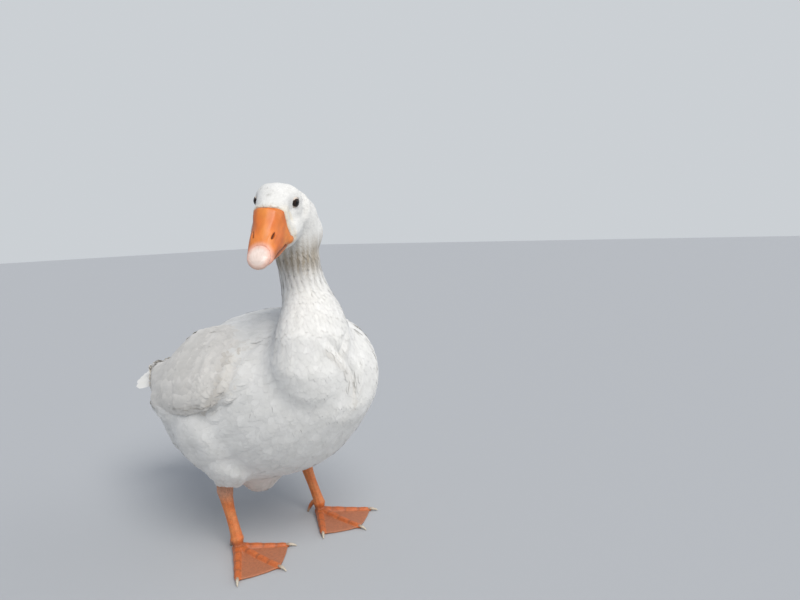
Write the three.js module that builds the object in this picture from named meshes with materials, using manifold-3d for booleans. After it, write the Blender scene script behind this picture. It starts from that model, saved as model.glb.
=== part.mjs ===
// A domestic goose, life size, standing with its head turned to its right.
// Units are millimetres. The bird faces -Y, its left side is +X and up is +Z.
// Each body part is a closed solid; neighbours meet with a small gap.
import * as THREE from "three";
import { mergeVertices } from "three/addons/utils/BufferGeometryUtils.js";
import Module from "manifold-3d";

const wasm = await Module();
wasm.setup();

const GAP = 0.5; // clearance between neighbouring solids
const SMOOTHING = 0.2; // slivers smaller than this are merged
const LEFT = 1;
const RIGHT = -1;
const DEG = Math.PI / 180;

// Driving dimensions of the bird.
const HOCK_HEIGHT = 94;
const SHANK_LEAN = { [LEFT]: 30, [RIGHT]: 22 }; // how far the hock sits behind the foot
const SHANK_TOP = HOCK_HEIGHT + 6; // where the feathers of the thigh begin
const FOOT_JOINT_HEIGHT = 17;
const SHANK_FOOT = FOOT_JOINT_HEIGHT + 10; // where the shank meets the foot
const HIND_TOE_TURN = 12; // degrees
const TOE_LENGTHS = { inner: 76, middle: 92, outer: 86 };
const TOE_SPREAD = { inner: -41 * DEG, middle: 0, outer: 40 * DEG }; // away from the body
const FOOT_TURN = { [LEFT]: 0, [RIGHT]: 2 * DEG }; // towards the bird's left
const WING_TILT = 32 * DEG; // the folded wing faces outward and this much upward
const EYE_RADIUS = 6.6;
const NAIL_RISE = 0.7; // how far the bill's nail stands proud

// The head's place: the middle of the gape, and the turns about Z, X and Y. Its own numbers
// are for a bill 70 mm long.
const HEAD_SIZE = 1.045;
const GAPE = new THREE.Vector3(-107.5, -175.5, 464);
const HEAD_TURN = new THREE.Euler(21 * DEG, 4.3 * DEG, -56 * DEG, "ZXY");

// A point given as left, forward and up.
const at = (left, forward, up) => new THREE.Vector3(left, -forward, up);

// Where each foot's joint stands on the floor. The weight rests more on the right foot, and
// the left foot is a little ahead.
const FOOT_PLACE = { [LEFT]: at(92, 17, 0), [RIGHT]: at(-62, 0, 0) };

// ---------------------------------------------------------------- solids

// A closed solid for joining and cutting, from any closed geometry.
function solidOf(geometry) {
  const bare = geometry.index ? geometry.toNonIndexed() : geometry.clone();
  for (const name of Object.keys(bare.attributes)) {
    if (name !== "position") bare.deleteAttribute(name);
  }
  const merged = mergeVertices(bare, 1e-3);
  return new wasm.Manifold(
    new wasm.Mesh({
      numProp: 3,
      vertProperties: new Float32Array(merged.attributes.position.array),
      triVerts: new Uint32Array(merged.index.array),
    }),
  );
}

function geometryOf(solid) {
  const mesh = solid.getMesh();
  const geometry = new THREE.BufferGeometry();
  geometry.setAttribute("position", new THREE.BufferAttribute(mesh.vertProperties, 3));
  geometry.setIndex(new THREE.BufferAttribute(mesh.triVerts, 1));
  geometry.computeVertexNormals();
  return geometry;
}

// One oval section of a loft: its centre and its reach to the sides, up and down.
const station = (centre, wide, up, down = up) => ({ centre, wide, up, down });

// A smooth closed solid through oval sections. The stations run from the rear to the front, or
// for an upright part from its foot to its top; side is the direction that counts as sideways.
function loft(stations, { rings, sides, grow = 0, power = 1, side = at(1, 0, 0) }) {
  const centres = new THREE.CatmullRomCurve3(stations.map((s) => s.centre), false, "centripetal");
  const reaches = new THREE.CatmullRomCurve3(
    stations.map((s) => new THREE.Vector3(s.wide, s.up, s.down)), false, "catmullrom", 0.5);
  const positions = [];
  const push = (v) => positions.push(v.x, v.y, v.z);
  const oval = (value) => Math.sign(value) * Math.abs(value) ** power;
  for (let i = 0; i <= rings; i++) {
    const t = i / rings;
    const centre = centres.getPoint(t);
    const reach = reaches.getPoint(t);
    const along = centres.getTangent(t);
    const across = side.clone().addScaledVector(along, -side.dot(along)).normalize();
    const upward = new THREE.Vector3().crossVectors(along, across).normalize();
    for (let j = 0; j < sides; j++) {
      const angle = (2 * Math.PI * j) / sides;
      const high = oval(Math.sin(angle));
      const tall = (high > 0 ? reach.y : reach.z) + grow;
      push(centre.clone()
        .addScaledVector(across, (reach.x + grow) * oval(Math.cos(angle)))
        .addScaledVector(upward, tall * high));
    }
  }
  const firstTip = positions.length / 3;
  const lastTip = firstTip + 1;
  push(centres.getPoint(0).addScaledVector(centres.getTangent(0), -grow));
  push(centres.getPoint(1).addScaledVector(centres.getTangent(1), grow));
  const index = [];
  const last = rings * sides;
  for (let j = 0; j < sides; j++) {
    const next = (j + 1) % sides;
    index.push(firstTip, next, j, lastTip, last + j, last + next);
    for (let a = 0; a < last; a += sides) {
      index.push(a + j, a + next, a + sides + j, a + next, a + sides + next, a + sides + j);
    }
  }
  const geometry = new THREE.BufferGeometry();
  geometry.setAttribute("position", new THREE.Float32BufferAttribute(positions, 3));
  geometry.setIndex(index);
  return solidOf(geometry);
}

function ellipsoid(centre, wide, long, tall) {
  const ball = new THREE.SphereGeometry(1, 12, 8);
  ball.scale(wide, long, tall).translate(centre.x, centre.y, centre.z);
  return solidOf(ball);
}

// The main body of a solid, without the slivers that cutting leaves.
function mainBody(solid) {
  const bodies = solid.simplify(SMOOTHING).decompose();
  return bodies.reduce((largest, body) => (body.volume() > largest.volume() ? body : largest));
}

const keepAbove = (solid, height) => solid.trimByPlane([0, 0, 1], height);
const keepBelow = (solid, height) => solid.trimByPlane([0, 0, -1], -height);

// ---------------------------------------------------------------- trunk, neck and tail

const TRUNK_STATIONS = [
  station(at(0, -217, 222.5), 10, 9, 10),
  station(at(0, -202, 220), 46, 32.5, 40.5),
  station(at(0, -153.5, 212), 96.5, 65.5, 93.5),
  station(at(0, -78.5, 212), 119.5, 105, 124),
  station(at(0, 8, 225.5), 123, 128, 123),
  station(at(0, 85, 256.5), 113.5, 114.5, 117.5),
  station(at(0, 143, 277.5), 92.5, 87.5, 89.5),
  station(at(0, 183, 289), 62.5, 60.5, 59.5),
  station(at(0, 202.5, 294), 10, 10, 10),
];

const NECK_STATIONS = [
  station(at(-11.5, 98.5, 241), 44.5, 44.5, 44.5),
  station(at(-32.5, 146.5, 287), 61.5, 58, 61.5),
  station(at(-40.5, 164, 323.5), 56, 50, 42.5),
  station(at(-32, 156, 354), 49, 42, 37),
  station(at(-27.5, 142, 387), 33.5, 34, 30),
  station(at(-34.5, 140, 421), 26.5, 31, 27),
  station(at(-41.5, 144, 452), 31, 33, 30),
  station(at(-49.5, 150, 484), 32, 33, 30),
  station(at(-69.5, 159, 501), 26, 26, 28),
  station(at(-87.5, 167, 501), 8, 8),
];

const TAIL_STATIONS = [
  station(at(0, -296, 221.5), 34.5, 1.5),
  station(at(0, -282.5, 224.5), 52, 5),
  station(at(0, -252, 232.5), 58, 10),
  station(at(0, -211.5, 237), 54, 15.5, 17.5),
  station(at(0, -186.5, 236), 42.5, 19.5, 21),
];

const NECK_SPLIT = 372; // height of the joint between the two lengths of neck
const THROAT = 446; // height of the joint between the neck and the head

const trunkLoft = (grow = 0) => loft(TRUNK_STATIONS, { rings: 18, sides: 24, grow });
const neckLoft = () => loft(NECK_STATIONS, { rings: 16, sides: 20 });
const tailLoft = () => loft(TAIL_STATIONS, { rings: 7, sides: 16 });

// ---------------------------------------------------------------- wings and thighs

const wingStations = (s) => [
  station(at(19.5 * s, -269, 244), 3, 3),
  station(at(30 * s, -242, 245.5), 6, 12.5),
  station(at(44.5 * s, -203.5, 249.5), 10.5, 23, 27),
  station(at(61.5 * s, -153.5, 253.5), 16.5, 40.5, 44.5),
  station(at(79 * s, -93, 265), 22, 58, 59.5),
  station(at(91.5 * s, -16, 281.5), 26, 67.5, 65.5),
  station(at(92.5 * s, 46.5, 292), 26, 63.5, 58),
  station(at(83 * s, 91, 300.5), 19.5, 44.5, 38.5),
  station(at(74 * s, 110, 306.5), 8, 15.5, 13.5),
  station(at(72 * s, 115, 307.5), 3, 4),
];

const wingLoft = (s, grow = 0) =>
  loft(wingStations(s), {
    rings: 14,
    sides: 14,
    grow,
    side: at(Math.cos(WING_TILT), 0, s * Math.sin(WING_TILT)),
  });

const thighStations = (s) => {
  const hock = FOOT_PLACE[s].clone().add(at(0, -SHANK_LEAN[s], 0));
  const above = (forward, up) => hock.clone().add(at(0, forward, up));
  return [
    station(above(0, HOCK_HEIGHT - 6), 11, 12),
    station(above(0, HOCK_HEIGHT + 8), 13, 14),
    station(above(2, 122), 22, 20, 36),
    station(at(73 * s, 10, 160), 32.5, 38, 52),
    station(at(63.5 * s, 30, 194.5), 32.5, 50, 54),
    station(at(54 * s, 46.5, 223.5), 19.5, 29, 29),
  ];
};

const thighLoft = (s) => loft(thighStations(s), { rings: 10, sides: 14 });

// ---------------------------------------------------------------- head and bill, about the gape

const SKULL_STATIONS = [
  station(at(0, -67, 27), 5, 5),
  station(at(0, -60, 25), 20, 20, 24),
  station(at(0, -44, 22), 27, 30, 36),
  station(at(0, -28, 21), 24.5, 33.5, 40),
  station(at(0, -14, 20), 20, 33.5, 36),
  station(at(0, -2, 20), 18.5, 30.5, 30),
  station(at(0, 10, 18), 17, 26, 26),
  station(at(0, 20, 17), 14, 20, 20),
  station(at(0, 26, 17), 3, 3),
];

const CHEEK_STATIONS = [
  station(at(0, -60, 16), 8, 8),
  station(at(0, -50, 10), 22, 20),
  station(at(0, -34, 5), 27.5, 24, 24),
  station(at(0, -16, 5), 28, 22, 24),
  station(at(0, -2, 6), 26, 20, 22),
  station(at(0, 8, 6), 22, 18, 19),
  station(at(0, 18, 5), 14, 14, 14),
  station(at(0, 24, 4), 4, 4),
];

const UPPER_BILL_STATIONS = [
  station(at(0, -14, 8), 24, 42, 8),
  station(at(0, 2, 6), 23, 40, 6),
  station(at(0, 16, 4), 20, 36, 5),
  station(at(0, 30, 3), 17.6, 26, 4.5),
  station(at(0, 45, 1), 16, 16.5, 4),
  station(at(0, 58, -0.5), 14.2, 10, 4),
  station(at(0, 66, -2), 11, 7.5, 3),
  station(at(0, 71, -3.5), 4, 2),
];

const LOWER_BILL_STATIONS = [
  station(at(0, -8, -4), 18, 8, 7),
  station(at(0, 6, -5), 17.5, 9, 7),
  station(at(0, 22, -5.5), 15.5, 9, 6.5),
  station(at(0, 40, -5.5), 13, 8, 5),
  station(at(0, 54, -6), 10.5, 6, 3.5),
  station(at(0, 62, -6.5), 5, 3, 2),
];

// The edge of the feathers seen from the side, from above the bill down to the chin.
const FEATHER_EDGE = [
  [16, 42],
  [1, 35],
  [-3.5, 21],
  [-1, 0],
  [12, -14],
];

// The room in front of the feathers' edge that the bill takes.
function billRoom(gap) {
  const edge = new THREE.SplineCurve(FEATHER_EDGE.map(([f, u]) => new THREE.Vector2(f + gap, u)));
  const outline = new THREE.Shape();
  outline.moveTo(16 + gap, 70);
  edge.getPoints(8).forEach((p) => outline.lineTo(p.x, p.y));
  outline.lineTo(12 + gap, -40);
  outline.lineTo(110, -40);
  outline.lineTo(110, 70);
  outline.closePath();
  const room = new THREE.ExtrudeGeometry(outline, { depth: 80, bevelEnabled: false });
  // The outline's x runs forward and its y up; its depth runs across the head.
  const turned = new THREE.Matrix4().makeBasis(at(0, 1, 0), at(0, 0, 1), at(-1, 0, 0));
  return solidOf(room.applyMatrix4(turned.setPosition(40, 0, 0)));
}

const eyeBall = (s, grow = 0) =>
  ellipsoid(at(18.8 * s, -27, 34), ...Array(3).fill(EYE_RADIUS + grow));

function headParts() {
  const headLoft = (grow = 0) =>
    loft(SKULL_STATIONS, { rings: 11, sides: 16, power: 0.85, grow })
      .add(loft(CHEEK_STATIONS, { rings: 9, sides: 14, grow }));
  const billLoft = (grow = 0) =>
    loft(UPPER_BILL_STATIONS, { rings: 11, sides: 16, power: 0.75, grow });
  const nailCore = (grow) => ellipsoid(at(0, 62, 4), 11.5 + grow, 14 + grow, 12 + grow);
  const room = billRoom(GAP);
  const skull = headLoft()
    .subtract(billRoom(0))
    .subtract(eyeBall(LEFT, GAP))
    .subtract(eyeBall(RIGHT, GAP));
  const upper = billLoft().intersect(room).subtract(nailCore(GAP));
  const nail = billLoft(NAIL_RISE).intersect(nailCore(0));
  const lower = loft(LOWER_BILL_STATIONS, { rings: 8, sides: 12 })
    .intersect(room)
    .subtract(billLoft(NAIL_RISE + GAP));
  return { skull, skullGrown: headLoft(GAP), upper, nail, lower };
}

const headMatrix = new THREE.Matrix4().compose(
  GAPE,
  new THREE.Quaternion().setFromEuler(HEAD_TURN),
  new THREE.Vector3(HEAD_SIZE, HEAD_SIZE, HEAD_SIZE),
);
const inBirdFrame = (solid) => solid.transform(headMatrix.elements);

// ---------------------------------------------------------------- legs, about the foot's joint

const shankStations = (lean) => [
  station(at(0, 0, 4), 4, 4),
  station(at(0, 0, FOOT_JOINT_HEIGHT), 9.5, 9, 10),
  station(at(0, -0.14 * lean, 30), 7.6, 9, 8),
  station(at(0, -0.5 * lean, 52), 7, 9, 8),
  station(at(0, -0.85 * lean, HOCK_HEIGHT - 18), 8.5, 11, 9),
  station(at(0, -lean, HOCK_HEIGHT), 12, 13, 12.5),
  station(at(0, -lean, HOCK_HEIGHT + 14), 9, 10),
];

const TOE_RADII = [8.4, 7.6, 6.2, 6.4, 5.2, 5.4, 4.4, 4.6, 2.6]; // swollen at the joints

// The line of a toe from the foot's joint to its tip.
function toeLine(name, s) {
  const angle = TOE_SPREAD[name] * s + FOOT_TURN[s];
  const point = (share, up) => {
    const reach = share * TOE_LENGTHS[name];
    return at(Math.sin(angle) * reach, Math.cos(angle) * reach, up);
  };
  return new THREE.CatmullRomCurve3([
    point(-0.04, 6),
    point(0.25, 5.2),
    point(0.5, 4.2),
    point(0.75, 3.5),
    point(1, 3.2),
  ]);
}

function toe(name, s) {
  const line = toeLine(name, s);
  const last = TOE_RADII.length - 1;
  const stations = TOE_RADII.map((r, i) => station(line.getPoint(i / last), r, r * 0.86));
  return loft(stations, { rings: 8, sides: 6 });
}

// The web between two toes: a thin slab whose front edge runs straight from claw to claw.
function web(first, second) {
  const columns = 3;
  const rows = 3;
  const thickness = 2.2;
  const drop = 1.4; // below the middle of the toes
  const positions = [];
  for (const lift of [0, thickness]) {
    for (let i = 0; i <= columns; i++) {
      for (let j = 0; j <= rows; j++) {
        const across = j / rows;
        const reach = 0.05 + (i / columns) * (0.92 + 0.02 * Math.sin(Math.PI * across));
        const p = first.getPoint(reach).lerp(second.getPoint(reach), across);
        const sag = 1.2 * Math.sin(Math.PI * across);
        positions.push(p.x, p.y, p.z - sag - drop + lift);
      }
    }
  }
  const layer = (columns + 1) * (rows + 1);
  const id = (i, j, top) => top * layer + i * (rows + 1) + j;
  const index = [];
  const quad = (a, b, c, d) => index.push(a, b, c, a, c, d);
  for (let i = 0; i < columns; i++) {
    for (let j = 0; j < rows; j++) {
      quad(id(i, j, 1), id(i + 1, j, 1), id(i + 1, j + 1, 1), id(i, j + 1, 1));
      quad(id(i, j, 0), id(i, j + 1, 0), id(i + 1, j + 1, 0), id(i + 1, j, 0));
    }
    quad(id(i, 0, 0), id(i + 1, 0, 0), id(i + 1, 0, 1), id(i, 0, 1));
    quad(id(i, rows, 1), id(i + 1, rows, 1), id(i + 1, rows, 0), id(i, rows, 0));
  }
  for (let j = 0; j < rows; j++) {
    quad(id(0, j, 0), id(0, j, 1), id(0, j + 1, 1), id(0, j + 1, 0));
    quad(id(columns, j, 0), id(columns, j + 1, 0), id(columns, j + 1, 1), id(columns, j, 1));
  }
  const geometry = new THREE.BufferGeometry();
  geometry.setAttribute("position", new THREE.Float32BufferAttribute(positions, 3));
  geometry.setIndex(index);
  return solidOf(geometry);
}

// A short curved claw that runs on from the end of a toe, down to the floor.
function claw(name, s, grow = 0) {
  const line = toeLine(name, s);
  const tip = line.getPoint(1);
  const ahead = line.getTangent(1).setZ(0).normalize();
  const point = (reach, up) => tip.clone().addScaledVector(ahead, reach).setZ(up);
  const stations = [
    station(point(-5, 4.2), 2, 1.8),
    station(point(0, 4.6), 2.6, 2.2),
    station(point(6, 3.4), 1.9, 1.8),
    station(point(11, 1.2), 0.9, 0.8),
  ];
  return keepAbove(loft(stations, { rings: 4, sides: 6, grow }), 0);
}

const HIND_TOE_STATIONS = [
  station(at(0, -24, 0.4), 2, 1.6),
  station(at(0, -20, 8), 2.8, 2.6),
  station(at(0, -15, 16), 3.6, 3.4),
  station(at(0, -8, 22), 4, 4),
  station(at(0, 0, 23), 4, 3.6),
];

function legParts(s) {
  const toSide = s === LEFT ? ["inner", "middle", "outer"] : ["outer", "middle", "inner"];
  const lines = toSide.map((name) => toeLine(name, s));
  const shank = loft(shankStations(SHANK_LEAN[s]), { rings: 10, sides: 9 });
  const hindToe = loft(HIND_TOE_STATIONS, { rings: 5, sides: 7 }).rotate([0, 0, HIND_TOE_TURN * s]);
  const webs = web(lines[0], lines[1]).add(web(lines[1], lines[2]));
  let foot = keepBelow(shank, SHANK_FOOT).add(webs).add(hindToe);
  toSide.forEach((name) => {
    foot = foot.add(toe(name, s));
  });
  toSide.forEach((name) => {
    foot = foot.subtract(claw(name, s, GAP));
  });
  return {
    foot: keepAbove(foot, 0),
    claws: toSide.map((name) => ({ name, solid: claw(name, s) })),
    shank: keepBelow(keepAbove(shank, SHANK_FOOT + GAP), SHANK_TOP),
  };
}

// ---------------------------------------------------------------- the whole bird

const MATERIALS = {
  plumage: { color: 0xf1efe8, roughness: 0.85 },
  wing: { color: 0xe9e6dc, roughness: 0.8 },
  bill: { color: 0xe27b3c, roughness: 0.45 },
  nail: { color: 0xe9cdb8, roughness: 0.4 },
  leg: { color: 0xe07a35, roughness: 0.55 },
  claw: { color: 0xb79c7c, roughness: 0.5 },
  eye: { color: 0x1b1512, roughness: 0.12 },
};

const materials = Object.fromEntries(
  Object.entries(MATERIALS).map(([name, look]) => [
    name,
    new THREE.MeshStandardMaterial({ name, metalness: 0, ...look }),
  ]),
);

const group = new THREE.Group();
group.name = "goose";

function addNode(name, solid, look) {
  const mesh = new THREE.Mesh(geometryOf(mainBody(solid)), materials[look]);
  mesh.name = name;
  group.add(mesh);
}

const onBothSides = [
  ["left", LEFT],
  ["right", RIGHT],
];

const { skull, skullGrown, upper, nail, lower } = headParts();
const wingsGrown = wingLoft(LEFT, GAP).add(wingLoft(RIGHT, GAP));
const trunkGrown = trunkLoft(GAP);
const neck = neckLoft().subtract(trunkGrown).subtract(wingsGrown);

addNode("trunk", trunkLoft().subtract(wingsGrown), "plumage");
addNode("neck_lower", keepBelow(neck, NECK_SPLIT - GAP), "plumage");
addNode(
  "neck_upper",
  keepBelow(keepAbove(neck, NECK_SPLIT), THROAT - GAP).subtract(inBirdFrame(skullGrown)),
  "plumage",
);
addNode("head", inBirdFrame(skull).add(keepAbove(neckLoft(), THROAT)), "plumage");
addNode("tail", tailLoft().subtract(trunkGrown).subtract(wingsGrown), "wing");
addNode("bill_upper", inBirdFrame(upper), "bill");
addNode("bill_lower", inBirdFrame(lower), "bill");
addNode("bill_nail", inBirdFrame(nail), "nail");

for (const [word, s] of onBothSides) {
  const leg = legParts(s);
  const placed = (solid) => solid.translate(FOOT_PLACE[s].toArray());
  addNode(`wing_${word}`, wingLoft(s), "wing");
  addNode(
    `thigh_${word}`,
    keepAbove(thighLoft(s), SHANK_TOP + GAP).subtract(trunkGrown),
    "plumage",
  );
  addNode(`eye_${word}`, inBirdFrame(eyeBall(s)), "eye");
  addNode(`shank_${word}`, placed(leg.shank), "leg");
  addNode(`foot_${word}`, placed(leg.foot), "leg");
  leg.claws.forEach(({ name, solid }) => {
    addNode(`claw_${name}_${word}`, placed(solid), "claw");
  });
}

// The origin is the middle of the bird's footprint, on the floor.
const bounds = new THREE.Box3().setFromObject(group);
const middle = bounds.getCenter(new THREE.Vector3());
group.children.forEach((mesh) => mesh.geometry.translate(-middle.x, -middle.y, -bounds.min.z));

export default group;
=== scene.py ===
import math

import bpy
import numpy as np
from mathutils import Matrix, Vector
from mathutils.bvhtree import BVHTree
from mathutils.kdtree import KDTree


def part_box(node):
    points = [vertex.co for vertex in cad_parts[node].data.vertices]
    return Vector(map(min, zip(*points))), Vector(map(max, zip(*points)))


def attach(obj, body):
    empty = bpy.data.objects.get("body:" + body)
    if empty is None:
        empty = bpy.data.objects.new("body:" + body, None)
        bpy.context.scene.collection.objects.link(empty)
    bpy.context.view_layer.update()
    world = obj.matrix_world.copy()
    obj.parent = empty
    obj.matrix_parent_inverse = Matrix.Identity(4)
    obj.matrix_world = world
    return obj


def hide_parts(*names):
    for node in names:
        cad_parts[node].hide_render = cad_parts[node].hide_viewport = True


# A white domestic goose, standing. Metres; the bird faces -Y, its left side is +X, up is +Z.
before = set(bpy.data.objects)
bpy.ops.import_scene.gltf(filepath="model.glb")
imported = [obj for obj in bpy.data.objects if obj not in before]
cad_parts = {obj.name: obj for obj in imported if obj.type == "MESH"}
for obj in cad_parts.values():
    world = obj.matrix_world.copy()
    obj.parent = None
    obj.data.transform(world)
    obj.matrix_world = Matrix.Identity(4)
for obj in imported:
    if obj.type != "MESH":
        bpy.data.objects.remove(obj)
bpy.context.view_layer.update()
scene = bpy.context.scene
MM = 0.001
rng = np.random.default_rng(7)


# ---------------- small helpers

def unit(v):
    return v / np.maximum(np.linalg.norm(v, axis=-1, keepdims=True), 1e-12)


def dot(a, b):
    return (a * b).sum(-1)


def step01(low, high, x):
    """0 below low, 1 above high, smooth between; low may be the larger."""
    t = np.clip((x - low) / (high - low), 0, 1)
    return t * t * (3 - 2 * t)


def bell(x, width):
    return np.exp(-((x / width) ** 2))


def from_middle(points, middle, reach):
    """The square of each point's distance from the middle, with the reach as 1."""
    return (((points - middle) / reach) ** 2).sum(1)


def level(v, n):
    """Unit vectors along v, laid square to n."""
    return unit(v - n * dot(v, n)[:, None])


def mix(a, b, t):
    t = np.asarray(t)[..., None] if max(np.ndim(a), np.ndim(b)) > np.ndim(t) else t
    return a * (1 - t) + b * t


def painted(count, colour, *layers):
    """Colours for so many places: the first colour, with each layer's mixed in by its amount."""
    rgb = np.repeat(np.array([colour]), count, 0)
    for over, amount in layers:
        rgb = mix(rgb, np.array(over), amount)
    return rgb


def merged(sets):
    """Meshes' arrays as one mesh's: corners, faces, and whatever else each corner has."""
    base = np.cumsum([0] + [len(s[0]) for s in sets])
    out = [np.concatenate([s[k] for s in sets]) for k in range(len(sets[0]))]
    out[1] = np.concatenate([s[1] + b for s, b in zip(sets, base)])
    return out


def node_mesh(name):
    """A CAD node's corners, with doubled ones merged, and its triangles."""
    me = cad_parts[name].data
    co = np.empty(len(me.vertices) * 3, np.float32)
    me.vertices.foreach_get("co", co)
    me.calc_loop_triangles()
    tri = np.empty(len(me.loop_triangles) * 3, np.int32)
    me.loop_triangles.foreach_get("vertices", tri)
    co, back = np.unique(np.round(co.reshape(-1, 3).astype(float), 6), axis=0, return_inverse=True)
    tri = back.reshape(-1)[tri].reshape(-1, 3)
    whole = (tri[:, 0] != tri[:, 1]) & (tri[:, 1] != tri[:, 2]) & (tri[:, 2] != tri[:, 0])
    return co, tri[whole]


def corner_normals(co, faces):
    a = co[faces[:, 2]] - co[faces[:, 0]]
    b = co[faces[:, -1]] - co[faces[:, 1]]
    n = np.cross(a, b)
    out = np.zeros_like(co)
    for k in range(faces.shape[1]):
        for axis in range(3):
            out[:, axis] += np.bincount(faces[:, k], weights=n[:, axis], minlength=len(co))
    return unit(out)


def swollen(name, by):
    """A CAD node's mesh, grown outward by a distance."""
    co, tri = node_mesh(name)
    return co + corner_normals(co, tri) * by, tri


def new_mesh(name, co, faces, tone=None):
    """A smooth mesh, with a colour at each corner if tone is given."""
    me = bpy.data.meshes.new(name)
    me.vertices.add(len(co))
    me.vertices.foreach_set("co", np.asarray(co, np.float32).ravel())
    me.loops.add(faces.size)
    me.loops.foreach_set("vertex_index", np.asarray(faces, np.int32).ravel())
    me.polygons.add(len(faces))
    me.polygons.foreach_set("loop_start", np.arange(0, faces.size, faces.shape[1], dtype=np.int32))
    me.polygons.foreach_set("use_smooth", np.ones(len(faces), bool))
    me.update(calc_edges=True)
    if tone is not None:
        rgba = np.ones((len(tone), 4), np.float32)
        rgba[:, :3] = tone
        me.attributes.new("tone", "FLOAT_COLOR", "POINT").data.foreach_set("color", rgba.ravel())
    return me


def set_uv(me, name, uv):
    """uv holds one pair for each corner of the mesh."""
    loops = np.empty(len(me.loops), np.int32)
    me.loops.foreach_get("vertex_index", loops)
    layer = me.uv_layers.new(name=name, do_init=False)
    layer.uv.foreach_set("vector", np.asarray(uv, np.float32)[loops].ravel())


def new_object(name, data):
    ob = bpy.data.objects.new(name, data)
    scene.collection.objects.link(ob)
    return ob


def add_piece(name, me, looks, slot, *nodes):
    ob = new_object(name, me)
    for look in looks:
        me.materials.append(look)
    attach(ob, "root")
    if nodes:
        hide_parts(*nodes)


def remeshed(co, faces, voxel):
    """One closed surface of even quads around the given closed surfaces."""
    ob = new_object("working", new_mesh("working", co, faces))
    how = ob.modifiers.new("remesh", "REMESH")
    how.mode = "VOXEL"
    how.voxel_size = voxel
    how.adaptivity = 0
    done = ob.evaluated_get(bpy.context.evaluated_depsgraph_get()).to_mesh()
    co = np.empty(len(done.vertices) * 3, np.float32)
    done.vertices.foreach_get("co", co)
    quads = np.empty(len(done.loops), np.int32)
    done.loops.foreach_get("vertex_index", quads)
    bpy.data.objects.remove(ob)
    return co.reshape(-1, 3).astype(float), quads.reshape(-1, 4)


def near_line(points, line):
    """How far each point lies from a line through the given places."""
    line = np.asarray(line, float)
    steps = np.linspace(0, 1, 10, endpoint=False)[:, None]
    fine = np.concatenate([a + (b - a) * steps for a, b in zip(line[:-1], line[1:])] + [line[-1:]])
    far = np.full(len(points), np.inf)
    for place in fine:
        far = np.minimum(far, ((points - place) ** 2).sum(1))
    return np.sqrt(far)


def search_tree(points):
    tree = KDTree(len(points))
    for i, p in enumerate(points):
        tree.insert(p, i)
    tree.balance()
    return tree


class Surface:
    """A mesh of quads whose corners can be smoothed and searched."""

    def __init__(self, co, quads):
        self.co, self.quads = co, quads
        pairs = np.concatenate([quads[:, [k, (k + 1) % 4]] for k in range(4)])
        pairs = np.unique(np.sort(pairs, 1), axis=0)
        self.a = np.concatenate([pairs[:, 0], pairs[:, 1]])
        self.b = np.concatenate([pairs[:, 1], pairs[:, 0]])
        self.degree = np.maximum(np.bincount(self.a, minlength=len(co)), 1)

    def around(self, field):
        """The mean of each corner's neighbours."""
        cols = [
            np.bincount(self.a, weights=field[self.b, k], minlength=len(self.co))
            for k in range(field.shape[1])
        ]
        return np.stack(cols, 1) / self.degree[:, None]

    def spread(self, field, times):
        for _ in range(times):
            field = 0.5 * field + 0.5 * self.around(field)
        return field

    def relax(self, weight, times=1):
        """Moves each corner toward the middle of its neighbours."""
        for _ in range(times):
            self.co += weight * (self.around(self.co) - self.co)

    def smooth(self, times, shrink=0.5, grow=-0.52):
        """Smooths the shape without shrinking it."""
        for _ in range(times):
            self.relax(shrink)
            self.relax(grow)

    def settle(self):
        self.normal = corner_normals(self.co, self.quads)
        self.tree = BVHTree.FromPolygons(self.co.tolist(), self.quads.tolist())

    def nearest(self, points):
        """The nearest place on the surface to each point: place, quad and distance."""
        find = self.tree.find_nearest
        found = [find(p) for p in points.tolist()]
        place = np.array([f[0] for f in found])
        return place, np.array([f[2] for f in found]), np.array([f[3] for f in found])

    def read(self, place, face, *fields):
        """Each field's values at places on the surface, between the corners of their quads."""
        corners = self.quads[face]
        far = np.linalg.norm(self.co[corners] - place[:, None], axis=2)
        w = 1 / (far + 1e-5) ** 2
        w = (w / w.sum(1, keepdims=True))[..., None]
        return [(field[corners] * w).sum(1) for field in fields]

    def scatter(self, weight, spacing, metric=(1, 1, 1)):
        """Places spread about spacing apart, by the metric, where weight is above a half."""
        q = self.quads
        tris = np.concatenate([q[:, [0, 1, 2]], q[:, [0, 2, 3]]])
        faces = np.tile(np.arange(len(q)), 2)
        a, b, c = (self.co[tris[:, k]] for k in range(3))
        out = np.cross(b - a, c - a)
        gap = spacing[tris].mean(1)
        mass = np.linalg.norm(out, axis=1) * (weight[tris].mean(1) > 0.5) / gap ** 2
        number = int(2.25 * np.prod(metric) ** 0.5 * mass.sum())
        pick = rng.choice(len(tris), number, p=mass / mass.sum())
        r = rng.random((number, 2))
        r[r.sum(1) > 1] = 1 - r[r.sum(1) > 1]
        place = a[pick] + (b - a)[pick] * r[:, :1] + (c - a)[pick] * r[:, 1:]
        normal = out[pick]
        points = (place * metric).tolist()
        tree = search_tree(points)
        free = np.ones(number, bool)
        kept = []
        for i in range(number):
            if free[i]:
                kept.append(i)
                close = np.array([j for _, j, _ in tree.find_range(points[i], gap[pick[i]])])
                free[close[normal[close] @ normal[i] > 0]] = False
        return place[kept], faces[pick[kept]]

    def scale(self, weight, spacing, deep, metric=(1, 1, 1)):
        """Presses the joints between scales into the surface. Returns 1 at a joint, 0 within."""
        every = np.ones(len(self.co))
        place, _ = self.scatter(every, spacing * every, metric)
        tree = search_tree((place * metric).tolist())
        near = np.array([[f[2] for f in tree.find_n(p, 2)] for p in (self.co * metric).tolist()])
        joint = step01(0.34, 0.0, (near[:, 1] - near[:, 0]) / spacing) * weight
        self.co -= self.normal * (joint * deep)[:, None]
        return joint


# ---------------- the bird's lines

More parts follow.
